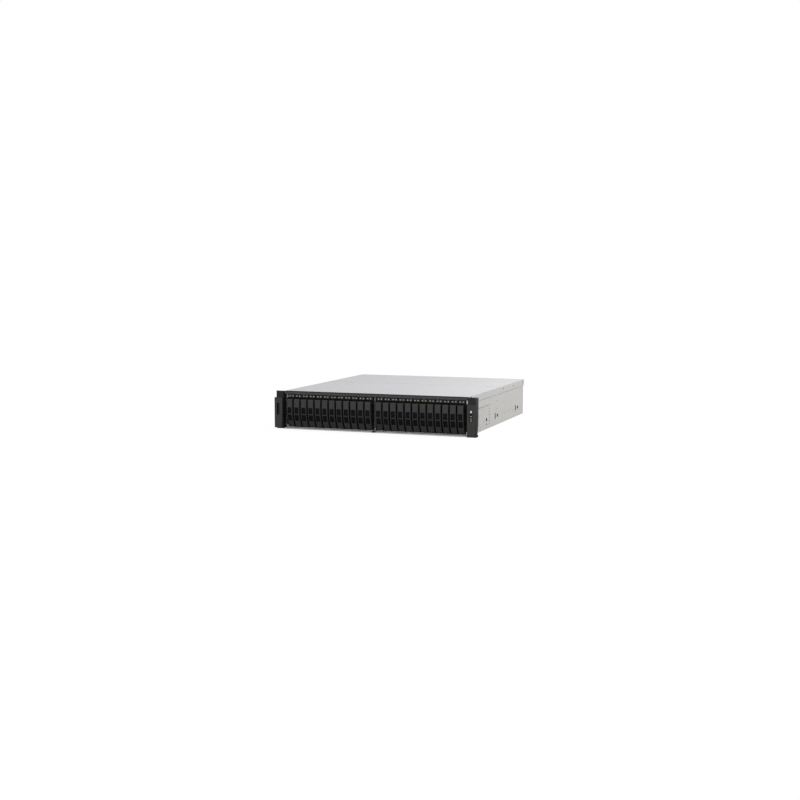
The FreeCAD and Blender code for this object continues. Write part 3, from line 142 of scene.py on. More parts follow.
def spread(owner, value, start, end, low=0.0, high=1.0):
    """Maps a value from one span to another and stops at the ends."""
    sockets = {"Value": value, "From Min": start, "From Max": end, "To Min": low, "To Max": high}
    return add_node(owner, "MapRange", sockets).outputs["Result"]


def feed(finish, socket, output):
    """Links an output to a socket of the finish's shader."""
    finish.node_tree.links.new(output, shader_of(finish).inputs[socket])


print("helpers of a finish: new_finish, add_node, calculate, spread and feed")

# %% Patterns in the piece's own coordinates
def own_coordinates(finish, stretch=(1, 1, 1)):
    """The piece's own coordinates in metres, scaled along each axis."""
    source = add_node(finish, "TexCoord", {}).outputs["Object"]
    return add_node(finish, "Mapping", {"Vector": source, "Scale": stretch}).outputs["Vector"]


def grain(finish, size_mm, detail, stretch=(1, 1, 1)):
    """Soft noise whose spots are about size_mm across."""
    sockets = {"Vector": own_coordinates(finish, stretch), "Scale": 1 / (size_mm * MM), "Detail": detail}
    return add_node(finish, "TexNoise", sockets).outputs["Fac"]


def crystals(finish, size_mm):
    """Patches with sharp borders, each with its own level."""
    sockets = {"Vector": own_coordinates(finish), "Scale": 1 / (size_mm * MM)}
    cells = add_node(finish, "TexVoronoi", sockets)
    return add_node(finish, "SeparateColor", {"Color": cells.outputs["Color"]}).outputs["Red"]


def across(finish, start_mm, end_mm):
    """A fade from 0 to 1 between two places along X."""
    split = add_node(finish, "SeparateXYZ", {"Vector": own_coordinates(finish)})
    return spread(finish, split.outputs["X"], start_mm * MM, end_mm * MM)


print("patterns: grain, crystals and a fade")

# %% Let a pattern act on a finish
NOISE_SPAN = (0.3, 0.7)


def vary(finish, socket, pattern, low, high):
    """Lets a pattern move one number of the shader between two ends."""
    feed(finish, socket, spread(finish, pattern, *NOISE_SPAN, low, high))


def vary_colour(finish, pattern, first, second, start=0.35, end=0.65):
    """Lets a pattern fade the base colour from the first to the second."""
    ramp = add_node(finish, "ValToRGB", {"Fac": pattern})
    for element, position, tint in zip(ramp.color_ramp.elements, (start, end), (first, second)):
        element.position = position
        element.color = tint
    feed(finish, "Base Color", ramp.outputs["Color"])


def emboss(finish, pattern, height_mm, strength):
    """Lets a pattern raise the surface a little."""
    sockets = {"Height": pattern, "Strength": strength, "Distance": height_mm * MM}
    feed(finish, "Normal", add_node(finish, "Bump", sockets).outputs["Normal"])


print("most noise lies between", NOISE_SPAN)

# %% [markdown]
# ## Wear along edges
# Handling polishes the edges of plastic and rubs the coat off the edges of sheet. A Bevel node gives the
# normal that a rounded edge would have. Where it turns away from the true normal there is an edge, and
# noise breaks that line up so that the wear comes and goes.

# %% Fade to a worn colour at the edges
EDGE_TURN = (0.99, 0.8)
MIX_SHARE, MIX_FIRST, MIX_SECOND, MIX_RESULT = 0, 6, 7, 2


def edge_wear(finish, width_mm, worn, most):
    """Fades the base colour towards a worn one along edges, at most by a share."""
    rounded = add_node(finish, "Bevel", {"Radius": width_mm * MM}).outputs["Normal"]
    surface = add_node(finish, "NewGeometry", {}).outputs["Normal"]
    match = add_node(finish, "VectorMath", {0: rounded, 1: surface}, operation="DOT_PRODUCT")
    turned = spread(finish, match.outputs["Value"], *EDGE_TURN, 0.0, most)
    broken = calculate(finish, "MULTIPLY", turned, grain(finish, size_mm=4.0, detail=4.0))
    unworn = shader_of(finish).inputs["Base Color"].links[0].from_socket
    sockets = {MIX_SHARE: broken, MIX_FIRST: unworn, MIX_SECOND: worn}
    feed(finish, "Base Color", add_node(finish, "Mix", sockets, data_type="RGBA").outputs[MIX_RESULT])


print("an edge shows where the two normals match by less than", EDGE_TURN[0])

# %% [markdown]
# ## Zinc-coated sheet
# The chassis is bent from zinc-coated steel under a thin clear coat. Close up, the zinc shows faint
# crystals of a few millimetres, and from a step back it is an even light grey with a soft sheen. It could
# be a pure metal shader, but then it would mirror the room, so it is mostly a matt grey with a little metal
# in it.

# %% Finishes of the sheet metal
def zinc_sheet(name, tint, roughness, metal, sheen=0.5):
    """Light grey sheet with faint crystals, fine grain, a soft sheen and brighter edges."""
    finish = new_finish(name, colour(*tint), roughness, metal)
    shader_of(finish).inputs["Specular IOR Level"].default_value = sheen
    darker, lighter = colour(*tint, step=-2.5), colour(*tint, step=2.5)
    vary_colour(finish, crystals(finish, size_mm=5.0), darker, lighter, start=0.1, end=0.9)
    vary(finish, "Roughness", grain(finish, size_mm=9.0, detail=4.0), roughness - 0.06, roughness + 0.06)
    emboss(finish, grain(finish, size_mm=0.7, detail=3.0), height_mm=0.02, strength=0.25)
    edge_wear(finish, width_mm=0.5, worn=grey(235), most=0.7)
    return finish


# The sheet comes in two copies: a lighter, cooler lit copy for the top, and a darker, warmer shaded copy
# for the walls, base, brackets, lugs and the cover's flanges. This paints the light from above into the
# colour.
lit_top_sheet = zinc_sheet("lit_top_sheet", (212, 212, 215), roughness=0.6, metal=0.06, sheen=0.2)
shaded_sheet = zinc_sheet("shaded_sheet", (206, 205, 202), roughness=0.5, metal=0.12)
bare_sheet = zinc_sheet("bare_sheet", (196, 196, 195), roughness=0.36, metal=0.55)
tab_sheet = zinc_sheet("tab_sheet", (240, 239, 236), roughness=0.35, metal=0.45)
dull_sheet = zinc_sheet("dull_sheet", (155, 154, 152), roughness=0.5, metal=0.0, sheen=0.2)
weld_sheet = zinc_sheet("weld_sheet", (214, 213, 210), roughness=0.42, metal=0.1)
blank_sheet = zinc_sheet("blank_sheet", (216, 216, 215), roughness=0.42, metal=0.3)
print("sheet finishes:", lit_top_sheet.name, shaded_sheet.name, bare_sheet.name, "and four more")

# %% [markdown]
# ## Black moulded plastic
# The ear caps, the top bar, the trays and their handles are moulded in black. A steel mould is etched, so
# the plastic has a texture of about a third of a millimetre that breaks up the highlights. Fine noise makes
# that bump, and wider noise makes the uneven colour and sheen that handling leaves.

# %% Finishes of the plastics
def moulded(name, tint, roughness, gloss=0.3, texture_mm=0.35, height_mm=0.03):
    """Plastic with a fine mould texture, a slightly uneven sheen and polished edges."""
    finish = new_finish(name, colour(*tint), roughness)
    shader_of(finish).inputs["Specular IOR Level"].default_value = gloss
    vary_colour(finish, grain(finish, size_mm=22.0, detail=4.0), colour(*tint), colour(*tint, step=2))
    vary(finish, "Roughness", grain(finish, size_mm=6.0, detail=5.0), roughness - 0.05, roughness + 0.05)
    emboss(finish, grain(finish, texture_mm, detail=2.0), height_mm, strength=0.35)
    edge_wear(finish, width_mm=0.35, worn=colour(*tint, step=34), most=0.6)
    return finish


black_plastic = moulded("black_plastic", (58, 58, 58), roughness=0.55)
handle_plastic = moulded("handle_plastic", (62, 62, 62), roughness=0.58)
# A darker copy of the black paints the shade on faces that lie back from the front.
set_back_shade_plastic = moulded("set_back_shade_plastic", (44, 44, 44), roughness=0.6, gloss=0.2)
tray_plastic = moulded("tray_plastic", (20, 20, 20), roughness=0.65, gloss=0.15)
head_plastic = moulded("head_plastic", (62, 62, 62), roughness=0.6, gloss=0.2)
# A near-black that paints shade: in the handle's channel, on its window sills, on the drive's front and on
# the left cap's base.
painted_shade_plastic = moulded("painted_shade_plastic", (13, 13, 13), roughness=0.75, gloss=0.1)
# The honeycomb gets a darker copy of the handle's black, which paints the shade inside the windows.
grille_shade_plastic = moulded("grille_shade_plastic", (38, 38, 38), roughness=0.65, gloss=0.15)
panel_plastic = moulded("panel_plastic", (9, 9, 9), 0.45, gloss=0.15, texture_mm=0.5, height_mm=0.01)
button_plastic = moulded("button_plastic", (238, 239, 240), 0.32, gloss=0.4, texture_mm=0.5, height_mm=0.01)
fan_plastic = moulded("fan_plastic", (30, 30, 31), roughness=0.5)
latch_plastic = moulded("latch_plastic", (118, 28, 32), roughness=0.42, gloss=0.4)
socket_plastic = moulded("socket_plastic", (25, 25, 27), roughness=0.48)
chip_plastic = moulded("chip_plastic", (33, 33, 35), roughness=0.5, texture_mm=0.2, height_mm=0.01)
# Dark matt is mostly painted shade: on the rivets, the hook slot edges, and the blocks and strips on the
# side walls. It also colours the gasket.
dark_matt = moulded("dark_matt", (34, 34, 33), roughness=0.9, gloss=0.1, texture_mm=0.2, height_mm=0.02)
print("plastic finishes:", black_plastic.name, handle_plastic.name, tray_plastic.name, "and eleven more")

# %% [markdown]
# ## Lights
# Each tray has two small green light pipes, and the right ear has four square lenses. They are clear
# plastic with a glow behind it. A weak emission of the same colour keeps them readable in the shadow under
# the top bar without making them look like lamps.

# %% Finishes of the light pipes and lenses
LENS_ROUGHNESS = 0.22


def lit_lens(name, base, glow):
    """Tinted clear plastic, lit faintly from behind."""
    finish = new_finish(name, base, LENS_ROUGHNESS)
    sockets = shader_of(finish).inputs
    sockets["Emission Color"].default_value = base
    sockets["Emission Strength"].default_value = glow
    sockets["Coat Weight"].default_value = 0.3
    cloud = grain(finish, size_mm=1.1, detail=3.0)
    vary(finish, "Roughness", cloud, low=0.16, high=0.3)
    emboss(finish, cloud, height_mm=0.02, strength=0.3)
    return finish


tray_light = lit_lens("tray_light", colour(150, 172, 142), glow=0.35)
lens_finishes = [
    lit_lens("lens_white", colour(165, 165, 163), glow=0.5),
    lit_lens("lens_green", colour(122, 132, 86), glow=0.35),
    lit_lens("lens_orange", colour(212, 152, 86), glow=0.7),
    lit_lens("lens_amber", colour(196, 162, 118), glow=0.5),
]
port_light = lit_lens("port_light", colour(96, 150, 84), glow=0.2)
print("lens finishes:", [finish.name for finish in lens_finishes])

# %% [markdown]
# ## Circuit boards
# A board is glass cloth under a green lacquer, and copper tracks show through the lacquer as slightly
# lighter lines. Two square waves at right angles, cut up by noise, give runs of tracks that start and stop.

# %% Finishes of the boards
WAVE_RATE = 20
TRACK_PITCHES = (1.6, 2.1)
TRACK_LEVEL = 0.62
RUN_LEVEL = 0.53
BOARD_ROUGHNESS = 0.34


def tracks(finish, pitch_mm, axis):
    """Parallel tracks across one axis that start and stop."""
    sockets = {"Vector": own_coordinates(finish), "Scale": 1 / (pitch_mm * MM) / WAVE_RATE * math.pi * 2}
    wave = add_node(finish, "TexWave", sockets, bands_direction=axis).outputs["Fac"]
    lines = calculate(finish, "GREATER_THAN", wave, TRACK_LEVEL)
    runs = calculate(finish, "GREATER_THAN", grain(finish, size_mm=24.0, detail=1.0), RUN_LEVEL)
    return calculate(finish, "MULTIPLY", lines, runs)


def lacquered_board(name, base, track, axes):
    """Green board with tracks across two axes under the lacquer."""
    finish = new_finish(name, base, BOARD_ROUGHNESS)
    both = [tracks(finish, pitch, axis) for pitch, axis in zip(TRACK_PITCHES, axes)]
    lines = calculate(finish, "MAXIMUM", *both)
    vary_colour(finish, lines, base, track, start=0.1, end=0.9)
    vary(finish, "Roughness", grain(finish, size_mm=5.0, detail=3.0), low=0.28, high=0.42)
    emboss(finish, lines, height_mm=0.04, strength=0.5)
    return finish


level_board = lacquered_board("level_board", colour(24, 62, 40), colour(44, 92, 58), axes="XY")
upright_board = lacquered_board("upright_board", colour(22, 58, 38), colour(42, 88, 54), axes="XZ")
print("board finishes:", level_board.name, upright_board.name)

# %% [markdown]
# ## Bare metals
# The heat sink is extruded aluminium, the drives are cast and painted metal, and pins and screws are plated
# steel. Extrusion and machining leave lines in one direction, so their noise is stretched along it.

# %% Finishes of the bare metals
def brushed(name, tint, roughness, stretch, line_mm=0.5):
    """Metal with fine lines along one direction."""
    finish = new_finish(name, colour(*tint), roughness, metal=1.0)
    lines = grain(finish, line_mm, detail=3.0, stretch=stretch)
    vary_colour(finish, lines, colour(*tint, step=-10), colour(*tint, step=8))
    vary(finish, "Roughness", lines, roughness - 0.08, roughness + 0.1)
    emboss(finish, lines, height_mm=0.02, strength=0.3)
    return finish


fin_aluminium = brushed("fin_aluminium", (205, 205, 206), roughness=0.34, stretch=(1, 0.04, 1))
drive_metal = brushed("drive_metal", (168, 168, 170), roughness=0.42, stretch=(1, 0.04, 1))
pin_steel = brushed("pin_steel", (200, 200, 200), roughness=0.22, stretch=(0.1, 1, 1))
screw_steel = brushed("screw_steel", (176, 176, 174), roughness=0.34, stretch=(1, 1, 1), line_mm=0.8)
gilt = brushed("gilt_contacts", (212, 172, 90), roughness=0.28, stretch=(1, 1, 1), line_mm=0.8)
print("metal finishes:", fin_aluminium.name, drive_metal.name, pin_steel.name, screw_steel.name, gilt.name)

# %% [markdown]
# ## Dress the CAD nodes
# Most of the CAD pieces already have the right shape, so they stay and get a finish. A few nodes hold
# several solids of different stuff, such as a fan bracket with its plastic frames. There the faces are
# picked by where they lie, which needs no change to the mesh itself.

# %% One finish for a node, or for some of its faces
def dress(node, finish):
    """Gives a whole CAD node one finish."""
    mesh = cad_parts[node].data
    mesh.materials.clear()
    mesh.materials.append(finish)
    for face in mesh.polygons:
        face.material_index = 0


def dress_faces(node, finish, wanted):
    """Gives a finish to the faces whose middle, in millimetres, passes a test."""
    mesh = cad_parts[node].data
    mesh.materials.append(finish)
    picked = [face for face in mesh.polygons if wanted(face.center / MM)]
    for face in picked:
        face.material_index = len(mesh.materials) - 1
    return len(picked)


plain_nodes = {
    lit_top_sheet: ["front_top_cover", "rear_top_cover"],
    shaded_sheet: ["base_pan", "right_side_wall", "left_side_wall", "right_ear_bracket", "left_ear_bracket"],
    bare_sheet: ["rear_panel", "drive_cage", "psu_cage", "io_ports", "fan_wall", "psu_lower", "psu_upper"],
    blank_sheet: ["slot_covers"],
    black_plastic: ["right_ear_cap", "left_ear_cap", "front_top_bar"],
    tray_plastic: ["bay_trims"],
    panel_plastic: ["control_panel"],
    button_plastic: ["power_button"],
    fan_plastic: ["fan_rotor_1", "fan_rotor_2", "fan_rotor_3"],
    latch_plastic: ["psu_lower_latch", "psu_upper_latch"],
    level_board: ["motherboard"],
    upright_board: ["drive_backplane", "memory_modules"],
    fin_aluminium: ["cpu_heatsink"],
    pin_steel: ["drive_tray_01_pivot_pin"],
    lens_finishes[0]: ["status_lenses"],
}
for finish, nodes in plain_nodes.items():
    for node in nodes:
        dress(node, finish)
print("dressed", sum(len(nodes) for nodes in plain_nodes.values()), "nodes")

# %% Boxes of nodes in millimetres, and nodes of several solids
BOARD_THICK = 1.6
BRACKET_SHEET = 1.3
BACKPLANE_BOARD = 2.5
STICK_SOCKET = 7.1
TOUCH = 0.1


def box_mm(node):
    """Lowest and highest corner of a node, in millimetres."""
    return [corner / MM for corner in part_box(node)]


bracket_back = box_mm("fan_wall")[0].y + BRACKET_SHEET
backplane_front = box_mm("drive_backplane")[1].y - BACKPLANE_BOARD
stick_low, stick_high = box_mm("memory_modules")
lens_low, lens_high = box_mm("status_lenses")
lens_pitch = (lens_high.z - lens_low.z) / len(lens_finishes)
BOARD_TOP = box_mm("io_ports")[0].z


def off_board(at):
    """Whether a point lies above the main board or among the standoffs under it."""
    return at.z > BOARD_TOP + TOUCH or at.z < BOARD_TOP - BOARD_THICK - TOUCH


dress_faces("fan_wall", fan_plastic, lambda at: at.y > bracket_back)
dress_faces("drive_backplane", socket_plastic, lambda at: at.y < backplane_front)
dress_faces("motherboard", bare_sheet, off_board)
dress_faces("memory_modules", socket_plastic, lambda at: at.z < stick_low.z + STICK_SOCKET)
for number, finish in enumerate(lens_finishes[1:], start=1):
    lens_top = lens_high.z - number * lens_pitch
    dress_faces("status_lenses", finish, lambda at, top=lens_top: at.z < top)
print("dressed the solids of five mixed nodes; lenses are", round(lens_pitch, 2), "mm apart")

# %% [markdown]
# ## Darker and brighter parts of the front
# On the front not every black is the same. The strip along the top of the bar, the base of the left cap and
# the label plates lie back from the face, and their shade is painted in with darker finishes. The left
# cap's recess is deep on its left side, so its finish fades from black there to the cap's grey, which is
# painted shade. The cage walls end in tabs above and below the trims: the outer ones are bright, the middle
# ones dull, and the middle trim is black.

# %% Strip, label plates, cap base, recess, tabs and middle trim
cap_top = box_mm("right_ear_cap")[1].z
face_front = box_mm("right_ear_cap")[0].y
tab_back = box_mm("drive_cage")[0].y + 1.1
outer_tab = box_mm("drive_cage")[1].x - 3
MIDDLE_TAB_HALF = 1.4
MIDDLE_TRIM_HALF = 10
LABEL_LOW = cap_top - 15.2
STRIP_LOW = cap_top - 2.05
BASE_FRONT = -2.3
RECESS_X, RECESS_Z = -231.3, 2.6
RECESS_HALF_WIDTH, RECESS_HALF_HEIGHT = 3.3, 14.0
RECESS_FLOOR = -8.3


def in_recess(at):
    """Whether a point lies in the pill-shaped recess of the left cap."""
    beside = abs(at.x - RECESS_X) < RECESS_HALF_WIDTH and abs(at.z - RECESS_Z) < RECESS_HALF_HEIGHT
    return beside and face_front + TOUCH < at.y < RECESS_FLOOR


# Painted shade: the recess's colour fades from near black at its left wall to the cap's grey.
recess_shade_plastic = moulded("recess_shade_plastic", (13, 13, 13), roughness=0.7, gloss=0.1)
recess_shade_fade = across(recess_shade_plastic, RECESS_X - RECESS_HALF_WIDTH, RECESS_X + RECESS_HALF_WIDTH)
vary_colour(recess_shade_plastic, recess_shade_fade, grey(8), grey(57), start=0.05, end=0.65)
# The set-back and near-black finishes below paint the shade on the bar's strip, the label plates, the cap's
# base and the recess.
front_parts = [
    ("front_top_bar", set_back_shade_plastic, lambda at: at.z > STRIP_LOW),
    ("right_ear_cap", set_back_shade_plastic, lambda at: at.z > LABEL_LOW and at.y < face_front + TOUCH),
    ("left_ear_cap", set_back_shade_plastic, lambda at: at.z > LABEL_LOW),
    ("left_ear_cap", painted_shade_plastic, lambda at: at.y > BASE_FRONT),
    ("left_ear_cap", recess_shade_plastic, in_recess),
    ("drive_cage", tab_sheet, lambda at: at.y < tab_back and abs(at.x) > outer_tab),
    ("drive_cage", dull_sheet, lambda at: at.y < tab_back and abs(at.x) < MIDDLE_TAB_HALF),
    ("bay_trims", black_plastic, lambda at: abs(at.x) < MIDDLE_TRIM_HALF),
]
for node, finish, wanted in front_parts:
    print(node, finish.name, "faces:", dress_faces(node, finish, wanted))

# %% [markdown]
# ## Flanges and slots of the sheet metal
# The covers fold down over the side walls. The folded flange faces sideways like the wall, so it gets
# the darker, warmer shaded copy of the sheet, while the flat top keeps the lighter, cooler lit copy:
# painted light and shade. The cut edges of the hook slots are dark matt, which is painted shade inside
# the slots.

# %% Cover flanges and slot edges
WALL_X = box_mm("right_side_wall")[1].x
WALL_INSIDE = box_mm("right_side_wall")[0].x
HOOK_SLOTS = [(213.5, 219.5), (401.5, 407.5)]
HOOK_Z = -21.5
HOOK_HALF_HEIGHT = 7.0


def in_slot_edge(at):
    """Whether a point lies on the cut edge of a hook slot."""
    along = any(front - TOUCH < at.y < rear + TOUCH for front, rear in HOOK_SLOTS)
    upright = abs(at.z - HOOK_Z) < HOOK_HALF_HEIGHT + TOUCH
    return along and upright and WALL_INSIDE + TOUCH < abs(at.x) < WALL_X - TOUCH


# The cover's side flanges take the shaded copy: painted shade on the sheet's side faces.
for node in ("front_top_cover", "rear_top_cover"):
    print(node, "flange faces:", dress_faces(node, shaded_sheet, lambda at: abs(at.x) > WALL_X + TOUCH / 2))
# The slot edges get dark matt as painted shade inside the slots.
for node in ("right_side_wall", "left_side_wall"):
    print(node, "slot edge faces:", dress_faces(node, dark_matt, in_slot_edge))

# %% [markdown]
# ## Mains inlets
# The power supplies are steel boxes, but the socket for the mains lead is a black plastic shroud with three
# blades. Its faces are picked by how near they lie to the socket's middle and how deep in the box.

# %% Black shroud and bright blades in each power supply
SUPPLIES = ("psu_lower", "psu_upper")
INLET_MIDDLE = -193.0
INLET_REACH = 14.6
SHROUD_HALF_HEIGHT = 10.6
SHROUD_DEPTH = 19.1
BAIL_REACH = 22.0
BLADE_HALF_WIDTH, BLADE_HALF_HEIGHT = 1.1, 5.1
BLADE_PLACES = (-7.0, 0.0, 7.0)
BLADE_DEPTHS = (5.4, 17.0)


def dress_inlet(node):
    """Black plastic for the mains socket of a power supply, steel for its blades."""
    low, high = box_mm(node)
    middle = (low.z + high.z) / 2
    rear = high.y - BAIL_REACH

    def in_shroud(at):
        inside = abs(at.x - INLET_MIDDLE) < INLET_REACH and abs(at.z - middle) < SHROUD_HALF_HEIGHT
        return inside and rear - SHROUD_DEPTH < at.y

    def in_blade(at):
        beside = min(abs(at.x - INLET_MIDDLE - step) for step in BLADE_PLACES) < BLADE_HALF_WIDTH
        deep = BLADE_DEPTHS[0] < rear - at.y < BLADE_DEPTHS[1]
        return beside and deep and abs(at.z - middle) < BLADE_HALF_HEIGHT

    shroud = dress_faces(node, socket_plastic, in_shroud)
    return shroud, dress_faces(node, pin_steel, in_blade)


for node in SUPPLIES:
    print(node, "shroud and blade faces:", dress_inlet(node))

# %% [markdown]
# ## Soft edges
# No edge of a real sheet or moulding is a perfect corner: a bend has a radius and a mould has a rounded
# edge, and both catch a thin line of light. A bevel modifier gives the CAD nodes that line without touching
# their meshes. The imported mesh is split at each edge, so a weld comes first, and flat triangles are
# joined so that the bevel runs cleanly along long edges.

# %% Add weld, flatten and bevel to the nodes that show
SHARP_ANGLE = math.radians(40)
FLAT_ANGLE = math.radians(1)
NODE_WELD = 0.001
EDGE_STEPS = 2


def add_bevel(piece, width_mm):
    """Rounds the sharp edges of a piece with a modifier."""
    edge = piece.modifiers.new("edge", "BEVEL")
    edge.width = width_mm * MM
    edge.segments = EDGE_STEPS
    edge.limit_method = "ANGLE"
    edge.angle_limit = SHARP_ANGLE


def soften(node, width_mm):
    """Welds, flattens and rounds a CAD node with modifiers."""
    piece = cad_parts[node]
    piece.modifiers.new("weld", "WELD").merge_threshold = NODE_WELD * MM
    flat = piece.modifiers.new("flat", "DECIMATE")
    flat.decimate_type = "DISSOLVE"
    flat.angle_limit = FLAT_ANGLE
    flat.delimit = {"MATERIAL"}
    add_bevel(piece, width_mm)


edge_widths = {
    0.45: ["front_top_cover", "rear_top_cover"],
    0.5: ["right_ear_cap", "front_top_bar"],
    0.35: ["right_side_wall", "left_side_wall", "right_ear_bracket", "left_ear_bracket"],
    0.3: ["left_ear_cap", "bay_trims", "psu_lower_latch", "psu_upper_latch", "fan_wall", "psu_lower",
          "psu_upper", "power_button"],
    0.2: ["control_panel", "status_lenses", "memory_modules", "io_ports", "slot_covers", "rear_panel",
          "fan_rotor_1", "fan_rotor_2", "fan_rotor_3"],
}
for width, nodes in edge_widths.items():
    for node in nodes:
        soften(node, width)
print("softened", sum(len(nodes) for nodes in edge_widths.values()), "nodes")

# %% [markdown]
# ## Tools for new pieces
# The pieces below are built point by point with bmesh, Blender's mesh-editing library. A piece is drawn in
# millimetres, turned into metres at the end, given its finish, and set to ride on a CAD body. A plate made
# of a grid of cells can leave some cells open, which gives windows without any boolean cutting. A stack
# joins rings of points along an axis, which makes screws, rivets, lenses and anything else that is turned.

# %% Blocks and plates with windows
BLOCK_SIDES = ((0, 1, 3, 2), (4, 6, 7, 5), (0, 4, 5, 1), (2, 3, 7, 6), (0, 2, 6, 4), (1, 5, 7, 3))


def add_block(mesh, low, high, finish_number=0):
    """Adds a box between two corners, in one of the piece's finishes."""
    spans = list(zip(low, high))
    corners = [mesh.verts.new((x, y, z)) for x in spans[0] for y in spans[1] for z in spans[2]]
    for side in BLOCK_SIDES:
        mesh.faces.new([corners[n] for n in side]).material_index = finish_number


def add_plate(mesh, columns, rows, front, back, is_open):
    """Adds an upright plate of grid cells between two depths, leaving out the cells that are open."""
    layers = [[[mesh.verts.new((x, y, z)) for z in rows] for x in columns] for y in (front, back)]
    across_count, up_count = len(columns) - 1, len(rows) - 1

    def solid(i, k):
        return 0 <= i < across_count and 0 <= k < up_count and not is_open(i, k)

    for i in range(across_count):
        for k in range(up_count):
            if not solid(i, k):
                continue
            ring = ((i, k), (i + 1, k), (i + 1, k + 1), (i, k + 1))
            for layer in layers:
                mesh.faces.new([layer[a][b] for a, b in ring])
            beside = ((i, k - 1), (i + 1, k), (i, k + 1), (i - 1, k))
            for side, neighbour in enumerate(beside):
                if not solid(*neighbour):
                    (a, b), (c, d) = ring[side], ring[(side + 1) % 4]
                    mesh.faces.new([layers[0][a][b], layers[0][c][d], layers[1][c][d], layers[1][a][b]])


print("a block has", len(BLOCK_SIDES), "sides")

# %% Stacks of rings
def circle(radius, sides=16):
    """Points of a circle in the plane across an axis."""
    turns = [2 * math.pi * n / sides for n in range(sides)]
    return [(radius * math.cos(turn), radius * math.sin(turn)) for turn in turns]


def oblong(wide, high):
    """Corners of a rectangle, by its half sizes, in the plane across an axis."""
    return [(-wide, -high), (wide, -high), (wide, high), (-wide, high)]


def add_stack(mesh, at, axis, rows, hollow=False):
    """Joins rings along an axis, each with its height; a hollow stack is a tube with a thick wall."""
    along = Vector(axis)
    up = Vector((1, 0, 0)) if abs(along.z) > 0.5 else Vector((0, 0, 1))
    sideways = up.cross(along)
    loops = [
        [mesh.verts.new(Vector(at) + sideways * a + up * b + along * height) for a, b in points]
        for points, height in rows
    ]
    if hollow:
        loops.append(loops[0])
    made = []
    for lower, upper in zip(loops, loops[1:]):
        for n in range(len(lower)):
            m = (n + 1) % len(lower)
            made.append(mesh.faces.new([lower[n], lower[m], upper[m], upper[n]]))
    if not hollow:
        made += [mesh.faces.new(loops[0]), mesh.faces.new(loops[-1])]
    return made


def add_turned(mesh, at, axis, profile, radius=1.0, height=1.0, sides=16, hollow=False):
    """Adds a turned piece from the (radius, height) steps of its profile."""
    rows = [(circle(radius * wide, sides), height * high) for wide, high in profile]
    add_stack(mesh, at, axis, rows, hollow)


print("a circle of 16 points starts at", circle(1.0)[0])

# %% Finished pieces that ride on a body
WELD_DISTANCE = 0.0005


def weld(mesh):
    """Joins points that lie on each other and drops what collapses."""
    bmesh.ops.remove_doubles(mesh, verts=mesh.verts, dist=WELD_DISTANCE)
    bmesh.ops.dissolve_degenerate(mesh, edges=mesh.edges, dist=WELD_DISTANCE)


def finished_mesh(mesh, name, *finishes, smooth_under=35):
    """Turns a drawn mesh into Blender mesh data in metres, with smooth rounds and crisp edges."""
    bmesh.ops.recalc_face_normals(mesh, faces=mesh.faces)
    bmesh.ops.scale(mesh, verts=mesh.verts, vec=(MM, MM, MM))
    data = bpy.data.meshes.new(name)
    mesh.to_mesh(data)
    mesh.free()
    for finish in finishes:
        data.materials.append(finish)
    data.shade_smooth()
    data.set_sharp_from_angle(angle=math.radians(smooth_under))
    return data


def place(name, data, body, at=(0, 0, 0), edge_mm=0.0):
    """Puts a mesh into the scene, in millimetres from the origin, riding on a body."""
    piece = bpy.data.objects.new(name, data)
    bpy.context.scene.collection.objects.link(piece)
    piece.location = Vector(at) * MM
    if edge_mm:
        add_bevel(piece, edge_mm)
    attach(piece, body)
    return piece


def add_piece(name, mesh, finish, edge_mm=0.0, body="chassis"):
    """Finishes a mesh that was drawn where it belongs and lets it ride on a body."""
    return place(name, finished_mesh(mesh, name, finish), body, edge_mm=edge_mm)


# %% [markdown]
# ## Tray handle
# The handle is the piece that takes the most skill. Seen from the side it is flat at the top and bows back
# towards a pin at its foot. Across, it is a channel: a skin in front, a wall on each side, and a hollow
# behind. It is lofted here from level sections, one above the other, each the same closed loop of points.
# Rounded front edges are part of the loop, and the two windows are left open between the sections.

# %% Side line of the handle
handle_low, handle_high = box_mm("drive_tray_01_handle")
HANDLE_HALF = (handle_high.x - handle_low.x) / 2
HANDLE_TOP = handle_high.z
FACE_Y = handle_low.y
TOP_BACK_Y = FACE_Y + 7.0
BEND_Z = 3.0
BOW_RADIUS = 72.0
EYE_RADIUS = 2.2
EYE_Z = handle_low.z + EYE_RADIUS
EYE_Y = FACE_Y + BOW_RADIUS - math.sqrt((BOW_RADIUS - EYE_RADIUS) ** 2 - (BEND_Z - EYE_Z) ** 2)
FOOT_FRONT_Z = EYE_Z + (EYE_Z - BEND_Z) * EYE_RADIUS / (BOW_RADIUS - EYE_RADIUS)
FOOT_BACK_Z = EYE_Z + 0.335
EDGE_ROUND = 0.9


def eye_half(z):
    """Half the depth of the round foot at a height."""
    return math.sqrt(max(0.0, EYE_RADIUS ** 2 - (z - EYE_Z) ** 2))


def face_y(z):
    """Depth of the handle's face at a height: flat, then bowed, then round the pin."""
    if z >= BEND_Z:
        return FACE_Y
    if z < FOOT_FRONT_Z:
        return EYE_Y - eye_half(z)
    return FACE_Y + BOW_RADIUS - math.sqrt(BOW_RADIUS ** 2 - (BEND_Z - z) ** 2)


def back_y(z):
    """Depth of the handle's back edge at a height."""
    if z < FOOT_BACK_Z:
        return EYE_Y + eye_half(z)
    share = (z - FOOT_BACK_Z) / (HANDLE_TOP - FOOT_BACK_Z)
    foot = EYE_Y + eye_half(FOOT_BACK_Z)
    return foot + share * (TOP_BACK_Y - foot)


print("handle from", [round(v, 2) for v in handle_low], "to", [round(v, 2) for v in handle_high])

